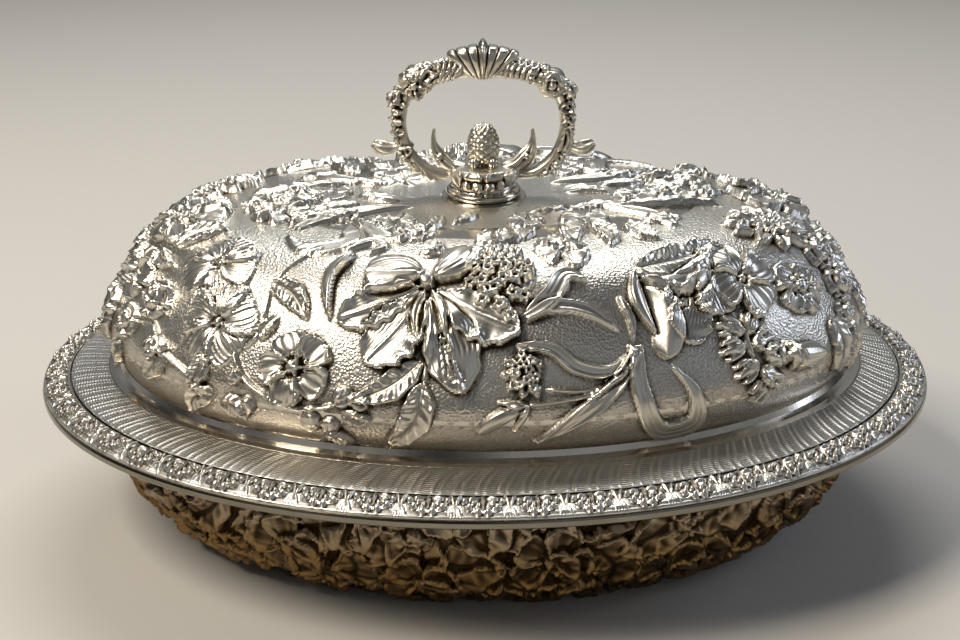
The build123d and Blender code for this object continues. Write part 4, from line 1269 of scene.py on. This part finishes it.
BORDER_NODES = border_tree()
border_profile = ((0.0, 63.4), (1.9, 64.7), (4.9, 65.66), (8.4, 66.0), (9.5, 66.0))
palmettes = border("border_palmettes", palmette_unit(), border_profile, count=52, inset=0.6)
dress(palmettes, ROLLED, "dish")
flange_profile = ((0.0, 66.3), (15.3, 68.4))
flutes = border("flange_flutes", flute_unit(), flange_profile, count=118, inset=11.75)
dress(flutes, ROLLED, "cover")

castings = (
    (handle_loop(), "handle_loop"),
    (handle_crest(), "handle_crest"),
    (handle_rose("rose_open", -26.5, False), "handle_rose_left"),
    (handle_rose("rose_wound", 26.5, True), "handle_rose_right"),
    (handle_spur("spur_left_cast", -1), "handle_spur_left"),
    (handle_spur("spur_right_cast", 1), "handle_spur_right"),
    (handle_leaf("leaf_left_cast", -1, 0.75), "handle_leaf_left"),
    (handle_leaf("leaf_right_cast", 1, 1.0), "handle_leaf_right"),
    (handle_cone(), "handle_cone"),
    (handle_calyx(), "handle_calyx"),
)
for piece, node in castings:
    dress(piece, CAST, "handle")
    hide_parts(node)
for k in range(4):
    dress(cone_lobe(f"cone_lobe_{k + 1}", TURN * (k + 0.5) / 4), CAST, "handle")

for name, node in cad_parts.items():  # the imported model's own nodes
    node.data.materials.clear()
    # The edge band and the brim take the darker copy: painted shade under the border
    node.data.materials.append(SHADED_BRIM if name in ("dish_edge_band", "dish_brim") else POLISHED)
    node.data.polygons.foreach_set("use_smooth", np.ones(len(node.data.polygons), bool))

# ---- Floor, light and camera -------------------------------------------------------------------

FLOOR_REACH = 6000.0
LAMPS_AIM = Vector((0.0, 0.0, 0.1))  # in metres, as all places of lamps and camera are


def lamp(name, place, size, power, colour="#ffffff"):
    """A soft rectangular lamp that faces the dish."""
    light = bpy.data.lights.new(name, "AREA")
    light.shape = "RECTANGLE"
    light.size = size[0]
    light.size_y = size[1]
    light.energy = power
    light.color = linear(colour)[:3]
    made = new_object(name, light)
    made.location = place
    made.rotation_euler = (LAMPS_AIM - Vector(place)).to_track_quat("-Z", "Y").to_euler()


def floor():
    """The pale table top, wide enough to fill the view."""
    corners = FLOOR_REACH * np.array([(-1, -1, 0), (1, -1, 0), (1, 1, 0), (-1, 1, 0)], float)
    made = mesh_object("floor", corners, [np.array([[0, 1, 2, 3]])])
    material, tree = new_material("pale_floor")
    shader = add_node(tree, "ShaderNodeBsdfDiffuse", {"Color": linear("#cbc8c1")})
    add_node(tree, "ShaderNodeOutputMaterial", {"Surface": shader})
    made.data.materials.append(material)


floor()
lamp("key_light", (-0.8, -0.5, 1.3), (0.5, 0.5), 20.0, "#fff4e6")
lamp("top_light", (0.0, 0.7, 1.4), (1.1, 0.5), 11.0)
lamp("side_light", (1.2, 0.1, 0.7), (0.3, 0.7), 2.8, "#dfe9ff")

# The studio's walls: dark, with broad pale patches for the silver to mirror
world = bpy.data.worlds.new("studio")
bpy.context.scene.world = world
world.use_nodes = True
room = world.node_tree
room.nodes.clear()
way = add_node(room, "ShaderNodeTexCoord").outputs["Generated"]
patches = add_node(room, "ShaderNodeTexNoise", {"Vector": way, "Scale": 1.7, "Detail": 1.0})
edge = {"Value": patches.outputs["Fac"], "From Min": 0.42, "From Max": 0.6}
tone = add_node(room, "ShaderNodeMapRange", edge, interpolation_type="SMOOTHSTEP")
walls = mixed(room, tone, linear("#4c4f55"), linear("#e3e8ee"))
sky = add_node(room, "ShaderNodeBackground", {"Color": walls, "Strength": 0.32})
add_node(room, "ShaderNodeOutputWorld", {"Surface": sky})

# From the front and a little above, with the horizon turned by a third of a degree
camera_data = bpy.data.cameras.new("camera")
camera_data.lens = 56.25
camera_data.clip_start = 0.01
camera = new_object("camera", camera_data)
camera.location = (0.0022, -0.5683, 0.317)
look = Vector((-0.0063, 0.9231, -0.3844)).to_track_quat("-Z", "Y")
camera.rotation_euler = (look @ Quaternion((0, 0, 1), math.radians(-0.33))).to_euler()
bpy.context.scene.camera = camera
bpy.context.scene.view_settings.view_transform = "Standard"
